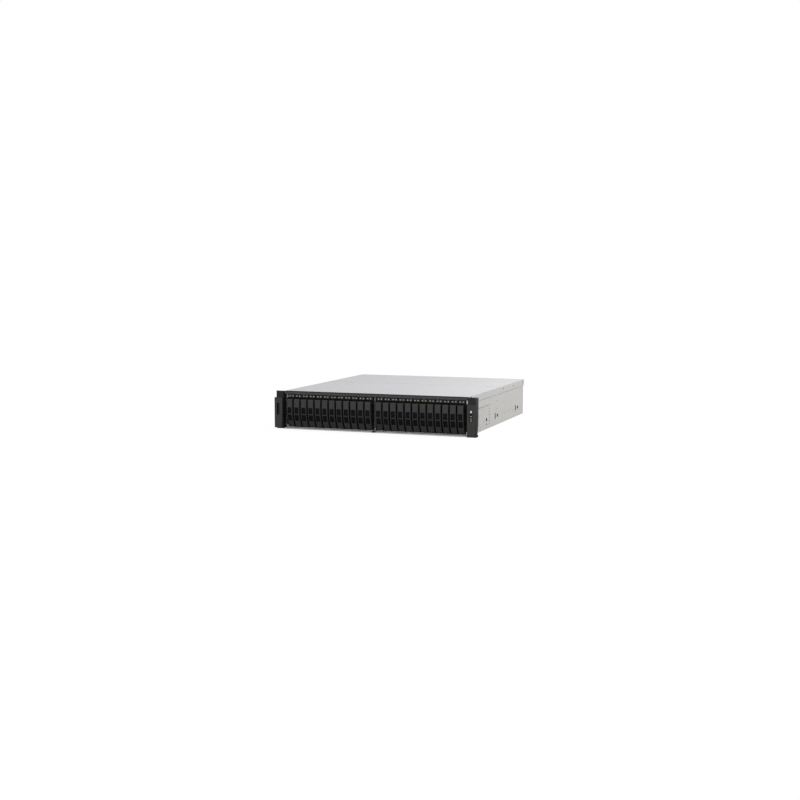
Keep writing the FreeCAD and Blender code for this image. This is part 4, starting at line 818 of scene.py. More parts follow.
# %% Sections of the handle
WINDOW_HALF = 4.9
WINDOWS = ((-24.0, -9.7), (-7.4, 6.9))
SKIN = 2.0
SIDE_WALL = 1.3
POCKET_LOW = EYE_Z + 5.0
POCKET_HIGH = HANDLE_TOP - SKIN
LEAST_DEPTH = 0.02
ROUND_SHARE = 0.45
ROUND_TURNS = [math.pi / 2 * step / 4 for step in range(5)]


def top_inset(z):
    """How far the section draws in near the rounded top edge."""
    rise = min(EDGE_ROUND, EDGE_ROUND - (HANDLE_TOP - z))
    if rise <= 0:
        return 0.0
    return EDGE_ROUND - math.sqrt(EDGE_ROUND ** 2 - rise ** 2)


def handle_section(z, hollow):
    """Closed loop of (x, y) points of the handle at one height."""
    inset = top_inset(z)
    half = HANDLE_HALF - inset
    front = face_y(z) + inset
    back = max(back_y(z), front + LEAST_DEPTH)
    inner = min(face_y(z) + SKIN, back) if hollow else back
    radius = min(EDGE_ROUND, ROUND_SHARE * (back - front))
    corner = [
        (half - radius + radius * math.sin(turn), front + radius - radius * math.cos(turn))
        for turn in ROUND_TURNS
    ]
    right = [(WINDOW_HALF, front)] + corner + [(half, back), (HANDLE_HALF - SIDE_WALL, back)]
    right += [(HANDLE_HALF - SIDE_WALL, inner), (WINDOW_HALF, inner)]
    return right + [(-x, y) for x, y in reversed(right)]


print("a section has", len(handle_section(0, True)), "points")

# %% Heights of the sections
FOOT_TURNS = [math.radians(turn) for turn in (0, 20, 40, 60, 80)]
BOW_HEIGHTS = [EYE_Z + 1 + 1.5 * step for step in range(27)]
WINDOW_ENDS = [end for window in WINDOWS for end in window]
NEAR = 0.001


def handle_rows():
    """Heights of the sections, each with its hollow flag, from the foot to the top."""
    foot = [EYE_Z - EYE_RADIUS * math.cos(turn) for turn in FOOT_TURNS]
    top = [HANDLE_TOP - EDGE_ROUND * (1 - math.sin(turn)) for turn in ROUND_TURNS]
    heights = foot + BOW_HEIGHTS + WINDOW_ENDS + [BEND_Z, POCKET_LOW, POCKET_HIGH] + top
    rows = []
    for z in sorted(set(round(z, 4) for z in heights)):
        if abs(z - POCKET_LOW) < NEAR:
            rows += [(z, False), (z, True)]
        elif abs(z - POCKET_HIGH) < NEAR:
            rows += [(z, True), (z, False)]
        else:
            rows.append((z, POCKET_LOW < z < POCKET_HIGH))
    return rows


print("handle has", len(handle_rows()), "sections")

# %% Loft the handle
def in_window(z):
    """Whether a height lies inside one of the two windows."""
    return any(low < z < high for low, high in WINDOWS)


def handle_mesh():
    """The bowed channel with its two windows; the inside faces and window sills get painted shade."""
    mesh = bmesh.new()
    rows = handle_rows()
    loops = [[mesh.verts.new((x, y, z)) for x, y in handle_section(z, hollow)] for z, hollow in rows]
    count = len(loops[0])
    half = count // 2
    front_left, front_right, inner_right, inner_left = count - 1, 0, half - 1, half
    sill = (front_left, front_right, inner_right, inner_left)
    inside = range(half - 3, half + 2)
    dark = []
    for lower, upper, (low_z, _), (high_z, _) in zip(loops, loops[1:], rows, rows[1:]):
        opened = in_window((low_z + high_z) / 2)
        for n in range(count):
            after = (n + 1) % count
            if opened and n in (front_left, inner_right):
                continue
            face = mesh.faces.new([lower[n], lower[after], upper[after], upper[n]])
            if n in inside:
                dark.append(face)
        if opened:
            for front, inner in ((front_left, inner_left), (front_right, inner_right)):
                dark.append(mesh.faces.new([lower[front], lower[inner], upper[inner], upper[front]]))
    for loop, (z, _) in zip(loops, rows):
        if any(abs(z - end) < NEAR for end in WINDOW_ENDS):
            dark.append(mesh.faces.new([loop[n] for n in sill]))
    mesh.faces.new(loops[0])
    mesh.faces.new(loops[-1])
    # The channel's inside and the window sills get painted shade.
    for face in dark:
        face.material_index = 1
    weld(mesh)
    return finished_mesh(mesh, "tray_handle", handle_plastic, painted_shade_plastic)


handle_data = handle_mesh()
print("handle mesh:", len(handle_data.vertices), "points,", len(handle_data.polygons), "faces")

# %% [markdown]
# ## Honeycomb in the windows
# Air for the drive comes in through a honeycomb in each window. A bump pattern would look flat from the
# side, so every cell is real: six quads in front, six behind and six walls. Whole cells are laid all over a
# window and then cut off at its frame, and each cut is closed. The honeycomb follows the bow because each
# corner takes its depth from the handle's own side line.

# %% One cell, and cutting at a plane
CELL_PITCH = 2.9
CELL_WALL = 0.5
CELL_RISE = CELL_PITCH / math.sqrt(3) * 1.5
CELL_DEPTHS = (1.15, 1.95)
HEXAGON = [math.radians(30 + 60 * corner) for corner in range(6)]


def add_cell(mesh, x, z):
    """One honeycomb cell: a hexagonal frame with a hole through it."""
    rings = []
    for width in (CELL_PITCH, CELL_PITCH - CELL_WALL):
        radius = width / math.sqrt(3)
        corners = [(x + radius * math.cos(turn), z + radius * math.sin(turn)) for turn in HEXAGON]
        for depth in CELL_DEPTHS:
            rings.append([mesh.verts.new((at_x, face_y(at_z) + depth, at_z)) for at_x, at_z in corners])
    outer_front, outer_back, inner_front, inner_back = rings
    for n in range(6):
        m = (n + 1) % 6
        mesh.faces.new([outer_front[n], outer_front[m], inner_front[m], inner_front[n]])
        mesh.faces.new([outer_back[m], outer_back[n], inner_back[n], inner_back[m]])
        mesh.faces.new([inner_front[n], inner_front[m], inner_back[m], inner_back[n]])


def cut_off(mesh, at, outward):
    """Cuts off what lies beyond a plane and closes the cut."""
    everything = [*mesh.verts, *mesh.edges, *mesh.faces]
    cut = bmesh.ops.bisect_plane(mesh, geom=everything, plane_co=at, plane_no=outward, clear_outer=True)
    edges = [item for item in cut["geom_cut"] if isinstance(item, bmesh.types.BMEdge)]
    bmesh.ops.holes_fill(mesh, edges=edges)


print("cells are", CELL_PITCH, "mm apart")

# %% Honeycomb of both windows
CELL_ROWS = range(-4, 4)
CELL_COLUMNS = range(-2, 3)


def window_honeycomb(low, high):
    """Whole cells all over one window, cut off at its frame."""
    mesh = bmesh.new()
    for row in CELL_ROWS:
        z = (low + high) / 2 + (row + 0.5) * CELL_RISE
        for column in CELL_COLUMNS:
            add_cell(mesh, (column + row % 2 / 2) * CELL_PITCH, z)
    weld(mesh)
    for side in (-1, 1):
        cut_off(mesh, (side * WINDOW_HALF, 0, 0), (side, 0, 0))
    cut_off(mesh, (0, 0, low), (0, 0, -1))
    cut_off(mesh, (0, 0, high), (0, 0, 1))
    data = bpy.data.meshes.new("window_honeycomb")
    mesh.to_mesh(data)
    mesh.free()
    return data


def honeycomb_mesh():
    """The honeycombs of the two windows as one mesh."""
    mesh = bmesh.new()
    for low, high in WINDOWS:
        window = window_honeycomb(low, high)
        mesh.from_mesh(window)
        bpy.data.meshes.remove(window)
    # The darker honeycomb finish is painted shade.
    return finished_mesh(mesh, "tray_honeycomb", grille_shade_plastic)


honeycomb_data = honeycomb_mesh()
print("honeycomb mesh:", len(honeycomb_data.polygons), "faces")

# %% [markdown]
# ## Tray carrier, lights and drive
# Behind the handle stands the carrier: a thin front plate with an air window, a head with two light pipes,
# two rails and the lugs that hold the pin. The drive sits between the rails, and its front gets painted
# shade, so that nothing shines through the honeycomb. All 24 trays are alike, so each mesh is made once and
# shared by 24 objects, which keeps the file small.

# %% Carrier
carrier_low, carrier_high = box_mm("drive_tray_01")
TRAY_HALF = (carrier_high.x - carrier_low.x) / 2
TRAY_LOW, TRAY_HIGH = carrier_low.z, carrier_high.z
RAIL_END = carrier_high.y
PLATE_FRONT, PLATE_BACK = 6.0, 7.5
HEAD_FRONT = 0.5
HEAD_LOW = TRAY_HIGH - 6.2
RAIL = 1.5
LUG = 1.0
LUG_TOP = TRAY_LOW + 5.6
AIR_HALF = TRAY_HALF - 2.3


def is_middle(column, row):
    """Whether a cell of a plate of three by three cells is the middle one."""
    return column == 1 and row == 1


def carrier_mesh():
    """Front plate with its window, light head, rails and pin lugs."""
    mesh = bmesh.new()
    columns = (-TRAY_HALF, -AIR_HALF, AIR_HALF, TRAY_HALF)
    rows = (TRAY_LOW, WINDOWS[0][0], WINDOWS[1][1], TRAY_HIGH)
    add_plate(mesh, columns, rows, PLATE_FRONT, PLATE_BACK, is_middle)
    add_block(mesh, (-TRAY_HALF, HEAD_FRONT, HEAD_LOW), (TRAY_HALF, PLATE_FRONT, TRAY_HIGH), 1)
    for low in (TRAY_LOW, TRAY_HIGH - RAIL):
        add_block(mesh, (-TRAY_HALF, PLATE_BACK, low), (TRAY_HALF, RAIL_END, low + RAIL))
    for near, far in ((-TRAY_HALF, -TRAY_HALF + LUG), (TRAY_HALF - LUG, TRAY_HALF)):
        add_block(mesh, (near, EYE_Y - EYE_RADIUS, TRAY_LOW), (far, PLATE_FRONT, LUG_TOP))
    return finished_mesh(mesh, "tray_carrier", tray_plastic, head_plastic)


carrier_data = carrier_mesh()
print("carrier mesh:", len(carrier_data.polygons), "faces")

# %% Light pipes
LIGHT_SPACING = 7.1
LIGHT_FRAME, LIGHT_CORE = (1.5, 1.6), (1.4, 1.0)
LIGHT_Z = (HEAD_LOW + TRAY_HIGH) / 2
LIGHT_RIM = [(LIGHT_FRAME, 1.0, 0.0), (LIGHT_FRAME, 0.97, 0.28), (LIGHT_CORE, 1.05, 0.34)]
LIGHT_DOME = [(LIGHT_CORE, 1.0, 0.3), (LIGHT_CORE, 0.96, 0.36), (LIGHT_CORE, 0.6, 0.4)]


def light_rows(steps):
    """Rings of a light: outlines drawn in by a share, each at a height."""
    return [(oblong(size[0] * share, size[1] * share), height) for size, share, height in steps]


def lights_mesh():
    """The two light pipes of a tray: a lit, domed core in a dark frame."""
    mesh = bmesh.new()
    for x in (-LIGHT_SPACING / 2, LIGHT_SPACING / 2):
        at = (x, HEAD_FRONT, LIGHT_Z)
        for face in add_stack(mesh, at, (0, -1, 0), light_rows(LIGHT_RIM)):
            face.material_index = 1
        add_stack(mesh, at, (0, -1, 0), light_rows(LIGHT_DOME))
    return finished_mesh(mesh, "tray_lights", tray_light, head_plastic, smooth_under=60)


lights_data = lights_mesh()
print("light mesh:", len(lights_data.polygons), "faces")

# %% Drive
drive_low, drive_high = box_mm("drive_01")
DRIVE_HALF = (drive_high.x - drive_low.x) / 2
DRIVE_SEAM = 0.35
CORE_INSET = 0.4
PLUG_HALF_WIDTH, PLUG_HALF_HEIGHT = 2.5, 16.7
PLUG_FRONT = drive_high.y - 4.0


def drive_mesh():
    """Two cast shells with a seam between them round a core, and the plug's opening at the rear."""
    mesh = bmesh.new()
    middle = (drive_low.z + drive_high.z) / 2
    columns = (-DRIVE_HALF, -PLUG_HALF_WIDTH, PLUG_HALF_WIDTH, DRIVE_HALF)
    rows = (drive_low.z, middle - PLUG_HALF_HEIGHT, middle + PLUG_HALF_HEIGHT, drive_high.z)
    add_plate(mesh, columns, rows, PLUG_FRONT, drive_high.y, is_middle)
    for near, far in ((-DRIVE_HALF, -DRIVE_SEAM), (DRIVE_SEAM, DRIVE_HALF)):
        add_block(mesh, (near, drive_low.y, drive_low.z), (far, PLUG_FRONT, drive_high.z))
    add_block(mesh, (-DRIVE_SEAM, drive_low.y + CORE_INSET, drive_low.z + CORE_INSET),
              (DRIVE_SEAM, PLUG_FRONT, drive_high.z - CORE_INSET))
    # The drive's front faces get painted shade.
    for face in mesh.faces:
        if face.calc_center_median().y < drive_low.y + 2 * CORE_INSET:
            face.material_index = 1
    return finished_mesh(mesh, "drive_case", drive_metal, painted_shade_plastic)


drive_data = drive_mesh()
print("drive mesh:", len(drive_data.polygons), "faces")

# %% Fill the bays
TRAYS = 24
CARRIER_EDGE, DRIVE_EDGE = 0.25, 0.3


def fill_bay(number):
    """One tray in its bay, standing for the CAD nodes of that tray."""
    node = f"drive_tray_{number:02d}"
    body = f"tray_{number:02d}"
    handle_body = "tray_01_handle" if number == 1 else body
    low, high = box_mm(node)
    at = ((low.x + high.x) / 2, 0, 0)
    tag = f"{number:02d}"
    carrier = place("carrier_" + tag, carrier_data, body, at, CARRIER_EDGE)
    handle = place("handle_" + tag, handle_data, handle_body, at)
    place("honeycomb_" + tag, honeycomb_data, handle_body, at)
    place("lights_" + tag, lights_data, body, at)
    case = place("drive_case_" + tag, drive_data, body, at, DRIVE_EDGE)
    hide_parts(node)
    if number == 1:
        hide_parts("drive_tray_01_handle")
        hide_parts("drive_01")


for number in range(1, TRAYS + 1):
    fill_bay(number)
print("filled", TRAYS, "bays")

# %% [markdown]
# ## Rivets and screws
# The sheets are held by blind rivets, which have a low dome with a hole where the mandrel broke off. The
# cover is held by screws with a cross recess. The recess is cut into the head ring by ring: a circle whose
# points stand at the same angles as the corners of the cross, then the cross itself, then its floor.

# %% One screw and one rivet
CROSS_ARM, CROSS_HALF = 0.56, 0.16
SCREW_RADIUS, SCREW_HEIGHT = 2.6, 0.9
SCREW_HEAD = [(1.0, 0.0), (1.0, 0.55), (0.82, 1.0)]
CROSS_HEIGHTS = (1.0, 0.35)
RIVET_DOME = [(1.0, 0.0), (0.96, 0.45), (0.72, 0.9), (0.42, 1.0), (0.36, 0.1)]
RIVET_SIDES = 12


def cross_corners():
    """Corners of a screw's cross recess."""
    long, half = SCREW_RADIUS * CROSS_ARM, SCREW_RADIUS * CROSS_HALF
    arm = [(long, half), (half, half), (half, long)]
    quarters = ((1, 0), (0, 1), (-1, 0), (0, -1))
    return [(a * cos - b * sin, a * sin + b * cos) for cos, sin in quarters for a, b in arm]


def add_screw(mesh, at, axis):
    """Adds a screw head with a cross recess."""
    corners = cross_corners()
    rows = []
    for wide, high in SCREW_HEAD:
        radius = SCREW_RADIUS * wide
        ring = [(radius * a / math.hypot(a, b), radius * b / math.hypot(a, b)) for a, b in corners]
        rows.append((ring, SCREW_HEIGHT * high))
    rows += [(corners, SCREW_HEIGHT * high) for high in CROSS_HEIGHTS]
    add_stack(mesh, at, axis, rows)


print("cross recess has", len(cross_corners()), "corners")

# %% [markdown]
# ## Details of the side walls
# Each side wall carries a column of rivets, a few single ones, faint marks of spot welds, and the bushes of
# the slide rail's screw holes with a small plug below the first. The rivets are dark matt and the bushes
# and plug dark plastic, which paints the shade of dimples and holes into them. Dark blocks behind the hook
# slots and thin dark strips under the ear's arm and along the cover's flange are painted shade: the shade
# inside the slots and the shadow lines under the sheet edges. The left side is the same as the right one.

# %% Places and sizes on the side walls
SIDES = ((1, "right"), (-1, "left"))
RIVET_COLUMN = [(165.5, 1.6 - 7.0 * n) for n in range(6)]
SINGLE_RIVETS = [(116.5, -22.9), (226.5, -5.2), (226.0, 13.8), (261.4, 24.4), (306.7, -23.3),
                 (337.2, -21.9), (373.8, -22.4)]
RIVET_SIZE, SINGLE_RIVET_SIZE = (1.5, 0.4), (1.1, 0.3)
WELD_MARKS = [(198.9, 24.0), (199.4, 9.2)]
FLANGE_WELD_MARKS = [(182.1, 36.7), (252.4, 36.6)]
WELD_DOME = [(2.8, 0.0), (2.3, 0.12), (1.2, 0.16)]
RAIL_HOLES = [(141.0, HOOK_Z), (235.0, HOOK_Z), (423.0, HOOK_Z)]
RAIL_HOLE_RADIUS = 2.2
BUSH_FLANGE = [(1.6, 0.0), (1.5, 0.9), (1.25, 1.1)]
BUSH_NECK = [(0.88, 0.9), (0.88, -1.15), (0.98, -1.15), (0.98, 0.0)]
SMALL_HOLE = (142.0, -32.0)
SMALL_PLUG = [(1.9, 0.0), (1.8, 0.5), (1.2, 0.6), (1.0, 0.1)]
SLOT_SHADE_DEPTHS = (WALL_INSIDE - 0.7, WALL_INSIDE - 0.05)
SLOT_SHADE_RIM_Y, SLOT_SHADE_RIM_Z = 2.0, 1.0
ARM_LOW, ARM_TOP, ARM_END, PLATE_END = 11.0, 27.2, 174.0, 58.0
FLANGE_LOW = 27.7
COVER_X = box_mm("rear_top_cover")[1].x
REAR_Y = box_mm("rear_panel")[1].y
COVER_END = REAR_Y - 1.0
# The dark blocks behind the hook slots and the strips below paint shade and shadow lines on the side walls.
THICK_SHADOW_STRIP, THIN_SHADOW_STRIP = (WALL_X, WALL_X + 0.8), (WALL_X, WALL_X + 0.4)
SHADOW_STRIPS = [
    (THICK_SHADOW_STRIP, (PLATE_END + 0.1, ARM_END - 0.5), (ARM_LOW - 0.6, ARM_LOW - 0.02)),
    (THICK_SHADOW_STRIP, (0.5, ARM_END - 0.5), (ARM_TOP + 0.03, FLANGE_LOW - 0.03)),
    (THIN_SHADOW_STRIP, (ARM_END + 0.5, COVER_END), (FLANGE_LOW - 0.2, FLANGE_LOW - 0.02)),
]
print("strips of tape on each side:", len(SHADOW_STRIPS))

# %% Rivets, weld marks, bushes, and painted shade blocks and strips on both sides
def add_side_block(mesh, side, reach, along, upright):
    """Adds a block on one side: two distances from the middle plane, two depths and two heights."""
    near, far = sorted(side * x for x in reach)
    add_block(mesh, (near, along[0], upright[0]), (far, along[1], upright[1]))


def wall_details(side):
    """Meshes of the rivets, weld marks, bushes and painted shade blocks and strips of one side wall."""
    axis = (side, 0, 0)
    x = side * WALL_X
    rivets, welds, bushes, dark = bmesh.new(), bmesh.new(), bmesh.new(), bmesh.new()
    for places, size in ((RIVET_COLUMN, RIVET_SIZE), (SINGLE_RIVETS, SINGLE_RIVET_SIZE)):
        for y, z in places:
            add_turned(rivets, (x, y, z), axis, RIVET_DOME, *size, sides=RIVET_SIDES)
    for base, marks in ((x, WELD_MARKS), (side * COVER_X, FLANGE_WELD_MARKS)):
        for y, z in marks:
            add_turned(welds, (base, y, z), axis, WELD_DOME)
    for y, z in RAIL_HOLES:
        add_turned(bushes, (x, y, z), axis, BUSH_FLANGE + BUSH_NECK, RAIL_HOLE_RADIUS, hollow=True)
    add_turned(bushes, (x, *SMALL_HOLE), axis, SMALL_PLUG)
    half = HOOK_HALF_HEIGHT + SLOT_SHADE_RIM_Z
    for front, rear in HOOK_SLOTS:
        along = (front - SLOT_SHADE_RIM_Y, rear + SLOT_SHADE_RIM_Y)
        add_side_block(dark, side, SLOT_SHADE_DEPTHS, along, (HOOK_Z - half, HOOK_Z + half))
    for strip in SHADOW_STRIPS:
        add_side_block(dark, side, *strip)
    return rivets, welds, bushes, dark


for side, name in SIDES:
    rivets, welds, bushes, dark = wall_details(side)
    # Dark matt rivets, dark plastic bushes and the dark blocks and strips are painted shade.
    add_piece(name + "_rivets", rivets, dark_matt)
    add_piece(name + "_welds", welds, weld_sheet)
    add_piece(name + "_bushes", bushes, socket_plastic)
    add_piece(name + "_shade_pieces", dark, dark_matt, edge_mm=0.08)
print("on each side:", len(RIVET_COLUMN + SINGLE_RIVETS), "rivets and", len(RAIL_HOLES), "bushes")

# %% [markdown]
# Between each ear and the cover a narrow folded lug closes the corner, so that nobody looks through behind
# the top bar. It is a plate with a notch at its foot, where the ear's arm passes. The rear cover is held by
# three screws on each side, which lift off with it here.

# %% Corner lugs
LUG_FRONT, LUG_NOTCH, LUG_BACK = 0.0, 1.0, 3.6
LUG_LOW, LUG_STEP, LUG_HIGH = ARM_TOP + 0.1, ARM_TOP + 2.0, cap_top - 1.0

for side, name in SIDES:
    lug = bmesh.new()
    add_side_block(lug, side, (WALL_INSIDE, WALL_X), (LUG_NOTCH, LUG_BACK), (LUG_LOW, LUG_STEP))
    add_side_block(lug, side, (WALL_INSIDE, WALL_X), (LUG_FRONT, LUG_BACK), (LUG_STEP, LUG_HIGH))
    add_piece(name + "_lug", lug, shaded_sheet, edge_mm=0.15)
print("lugs are", LUG_BACK, "mm deep")

# %% Screws of the rear cover
COVER_SCREW_PLACES = (281.0, 375.5, 470.0)
COVER_SCREW_Z = 37.3

cover_screws = bmesh.new()
for side, _ in SIDES:
    for y in COVER_SCREW_PLACES:
        add_screw(cover_screws, (side * COVER_X, y, COVER_SCREW_Z), (side, 0, 0))
add_piece("cover_screws", cover_screws, screw_steel, body="rear_cover")
print("cover screws:", 2 * len(COVER_SCREW_PLACES))

# %% [markdown]
# ## Clip at the cover's corner
# A small dark clip holds the front corner of the cover down beside the right ear. It has a sloped nose, so
# its outline is drawn from the side and swept across.

# %% Cap clip
CLIP_WIDTH = 1.8
CLIP_SIDE = [(4.5, 39.6), (4.5, 43.4), (12.0, 43.4), (16.0, 42.0), (16.0, 39.6)]

clip = bmesh.new()
add_stack(clip, (COVER_X, 0, 0), (1, 0, 0), [(CLIP_SIDE, 0.0), (CLIP_SIDE, CLIP_WIDTH)])
add_piece("cap_clip", clip, tray_plastic, edge_mm=0.3)
print("clip sides:", len(CLIP_SIDE))

# %% [markdown]
# ## Gasket in the cover seam
# The front and rear covers meet in a narrow seam. A dark conductive gasket lies in it, nearly flush with
# the top, and draws a thin line across the box.

# %% Gasket
seam_front = box_mm("front_top_cover")[1].y
seam_rear = box_mm("rear_top_cover")[0].y - 0.15
cover_top = box_mm("front_top_cover")[1].z
GASKET_DEPTHS = (1.1, 0.03)

gasket = bmesh.new()
gasket_low, gasket_high = [cover_top - depth for depth in GASKET_DEPTHS]
add_block(gasket, (-WALL_X, seam_front, gasket_low), (WALL_X, seam_rear, gasket_high))
add_piece("cover_gasket", gasket, dark_matt, edge_mm=0.1)
print("gasket from", round(seam_front, 2), "to", round(seam_rear, 2), "mm")

# %% [markdown]
# ## Rear panel
# At the rear the panel is screwed on, and every port has something inside: a tongue with contacts in the
# serial ports, eight springy contacts in the network ports with two small lights below, and a card edge
# and two springs in the optical ones. Each power supply shows its own fan behind the vent slots and a
# small light.

# %% Rear screws
REAR_SCREWS = [(x, z) for x in (-128.0, 45.0, 168.0, 208.0) for z in (-36.5, 36.5)]

rear_screws = bmesh.new()
for x, z in REAR_SCREWS:
    add_screw(rear_screws, (x, REAR_Y, z), (0, 1, 0))
add_piece("rear_screws", rear_screws, screw_steel)
print("rear screws:", len(REAR_SCREWS))

# %% Inside the ports
PORT_REAR = box_mm("io_ports")[1].y
PORT_FLOOR = BOARD_TOP + 1.0
SERIAL_PLACES, NETWORK_PLACES, OPTICAL_PLACES = (-112.0, -94.0), (-72.0, -54.0), (-32.0, -14.0)
SERIAL_TONGUE = {"half": 5.4, "deep": 13.9, "near": 1.2, "low": 2.9, "high": 4.6}
SERIAL_CONTACT = {"half": 0.5, "deep": 11.0, "near": 2.0, "low": 2.75, "high": 2.9}
SERIAL_STEPS = (-3.5, -1.0, 1.0, 3.5)
NETWORK_BLOCK = {"half": 5.0, "deep": 14.9, "near": 9.0, "low": 6.2, "high": 9.5}
NETWORK_CONTACT = {"half": 0.25, "deep": 13.0, "near": 3.5, "low": 5.6, "high": 6.1}
NETWORK_STEPS = [(step - 3.5) * 1.1 for step in range(8)]
OPTICAL_TONGUE = {"half": 6.0, "deep": 41.5, "near": 33.0, "low": 3.2, "high": 5.2}
OPTICAL_SPRING = {"half": 0.2, "deep": 6.0, "near": 0.4, "low": 0.1, "high": 0.5}
OPTICAL_STEPS = (-6.4, 6.4)
PORT_LIGHT_STEPS = (-4.6, 4.6)
PORT_LIGHT_INSET = 0.9
PORT_LIGHT_DOME = [(oblong(1.2, 0.8), 0.0), (oblong(1.2, 0.8), 0.6), (oblong(0.9, 0.5), 0.8)]


def add_in_port(mesh, x, half, deep, near, low, high):
    """Adds a block in a port, measured from its middle, the panel and the port's floor."""
    add_block(mesh, (x - half, PORT_REAR - deep, PORT_FLOOR + low),
              (x + half, PORT_REAR - near, PORT_FLOOR + high))


tongues, contacts, port_lights = bmesh.new(), bmesh.new(), bmesh.new()
for places, tongue, contact, steps in (
    (SERIAL_PLACES, SERIAL_TONGUE, SERIAL_CONTACT, SERIAL_STEPS),
    (NETWORK_PLACES, NETWORK_BLOCK, NETWORK_CONTACT, NETWORK_STEPS),
    (OPTICAL_PLACES, OPTICAL_TONGUE, OPTICAL_SPRING, OPTICAL_STEPS),
):
    for x in places:
        add_in_port(tongues, x, **tongue)
        for step in steps:
            add_in_port(contacts, x + step, **contact)
for x in NETWORK_PLACES:
    for step in PORT_LIGHT_STEPS:
        at = (x + step, PORT_REAR - PORT_LIGHT_INSET, PORT_FLOOR + PORT_LIGHT_INSET)
        add_stack(port_lights, at, (0, 1, 0), PORT_LIGHT_DOME)
add_piece("port_tongues", tongues, socket_plastic, edge_mm=0.15)
add_piece("port_contacts", contacts, gilt, edge_mm=0.05)
add_piece("port_lights", port_lights, port_light)
print("ports:", len(SERIAL_PLACES), len(NETWORK_PLACES), len(OPTICAL_PLACES))

# %% Fan of the power supplies
FAN_RADIUS = 17.5
HUB_RADIUS = 7.0
HUB_PROFILE = [(HUB_RADIUS, -5.5), (HUB_RADIUS, -0.6), (HUB_RADIUS - 0.8, 0.0)]
FAN_BLADES = 7
BLADE_ENDS = ((HUB_RADIUS - 0.5, 3.0), (FAN_RADIUS, 5.0))
BLADE_SECTION = ((-1, 0.0), (1, 4.0), (1, 4.8), (-1, 0.8))
BLADE_SIDES = ((0, 1, 2, 3), (7, 6, 5, 4), (0, 4, 5, 1), (1, 5, 6, 2), (2, 6, 7, 3), (3, 7, 4, 0))


def add_blade(mesh, turn):
    """Adds one pitched blade between the hub and the tip."""
    corners = []
    for radius, reach in BLADE_ENDS:
        for way, depth in BLADE_SECTION:
            angle = turn + way * reach / radius
            corners.append(mesh.verts.new((radius * math.cos(angle), -depth, radius * math.sin(angle))))
    for side in BLADE_SIDES:
        mesh.faces.new([corners[n] for n in side])


def supply_fan_mesh():
    """Small fan seen behind the vent slots: a hub and its pitched blades."""
    mesh = bmesh.new()
    add_turned(mesh, (0, 0, 0), (0, 1, 0), HUB_PROFILE)
    for n in range(FAN_BLADES):
        add_blade(mesh, 2 * math.pi * n / FAN_BLADES)
    return finished_mesh(mesh, "supply_fan", fan_plastic)


supply_fan_data = supply_fan_mesh()
print("power supply fan:", len(supply_fan_data.polygons), "faces")

# %% Fan and light in each power supply
SUPPLY_REAR = 481.0
VENT_X, VENT_Y = -157.8, SUPPLY_REAR - 2.5
SUPPLY_LIGHT_X, SUPPLY_LIGHT_DROP = -181.0, 14.5
SUPPLY_LIGHT_DOME = [(1.5, 0.0), (1.5, 0.35), (1.0, 0.6)]

supply_light = bmesh.new()
add_turned(supply_light, (0, 0, 0), (0, 1, 0), SUPPLY_LIGHT_DOME)
supply_light_data = finished_mesh(supply_light, "supply_light", port_light)
for name in SUPPLIES:
    low, high = box_mm(name)
    middle = (low.z + high.z) / 2
    place(name + "_fan", supply_fan_data, name, (VENT_X, VENT_Y, middle))
    light_at = (SUPPLY_LIGHT_X, SUPPLY_REAR, middle - SUPPLY_LIGHT_DROP)
    place(name + "_light", supply_light_data, name, light_at)
print("power supplies with a fan and a light:", len(SUPPLIES))

# %% [markdown]
# ## On the main board
# With the cover off, the main board shows. Besides the processor's heat sink and the memory it carries card
# sockets in line with the slots, a finned chipset cooler and many small parts. Those are scattered by a
# seeded draw: a part is dropped at random and kept only where it meets nothing else, so every run gives the
# same board.

# %% Memory chips
STICK_PLACES = [bank * (60.0 + stick * 9.5) for bank in (-1, 1) for stick in range(4)]
STICK_HALF = 1.8
CHIP_STEPS = [(n - 4) * 13.6 for n in range(9)]
CHIP_THICK, CHIP_LENGTH, CHIP_HEIGHT = 0.45, 11.0, 13.0
CHIP_TOP = stick_high.z - 9

chips = bmesh.new()
for x in STICK_PLACES:
    for step in CHIP_STEPS:
        y = (stick_low.y + stick_high.y) / 2 + step
        for face in (-1, 1):
            near, far = sorted((x + face * STICK_HALF, x + face * (STICK_HALF + CHIP_THICK)))
            add_block(chips, (near, y - CHIP_LENGTH / 2, CHIP_TOP - CHIP_HEIGHT),
                      (far, y + CHIP_LENGTH / 2, CHIP_TOP))
add_piece("memory_chips", chips, chip_plastic)
print("memory chips:", 2 * len(STICK_PLACES) * len(CHIP_STEPS))

# %% Card sockets
CARD_PLACES = [66.0 + 20.32 * n for n in range(5)]
CARD_HALF, CARD_SLOT_HALF = 3.6, 0.9
CARD_HEIGHT, CARD_SLOT_FLOOR = 10.5, 3.0
CARD_REAR = 466.0
CARD_FRONT = CARD_REAR - 56.0

sockets = bmesh.new()
for x in CARD_PLACES:
    for near, far in ((x - CARD_HALF, x - CARD_SLOT_HALF), (x + CARD_SLOT_HALF, x + CARD_HALF)):
        add_block(sockets, (near, CARD_FRONT, BOARD_TOP), (far, CARD_REAR, BOARD_TOP + CARD_HEIGHT))
    add_block(sockets, (x - CARD_SLOT_HALF, CARD_FRONT, BOARD_TOP),
              (x + CARD_SLOT_HALF, CARD_REAR, BOARD_TOP + CARD_SLOT_FLOOR))
add_piece("card_sockets", sockets, socket_plastic, edge_mm=0.2)
print("card sockets:", len(CARD_PLACES))

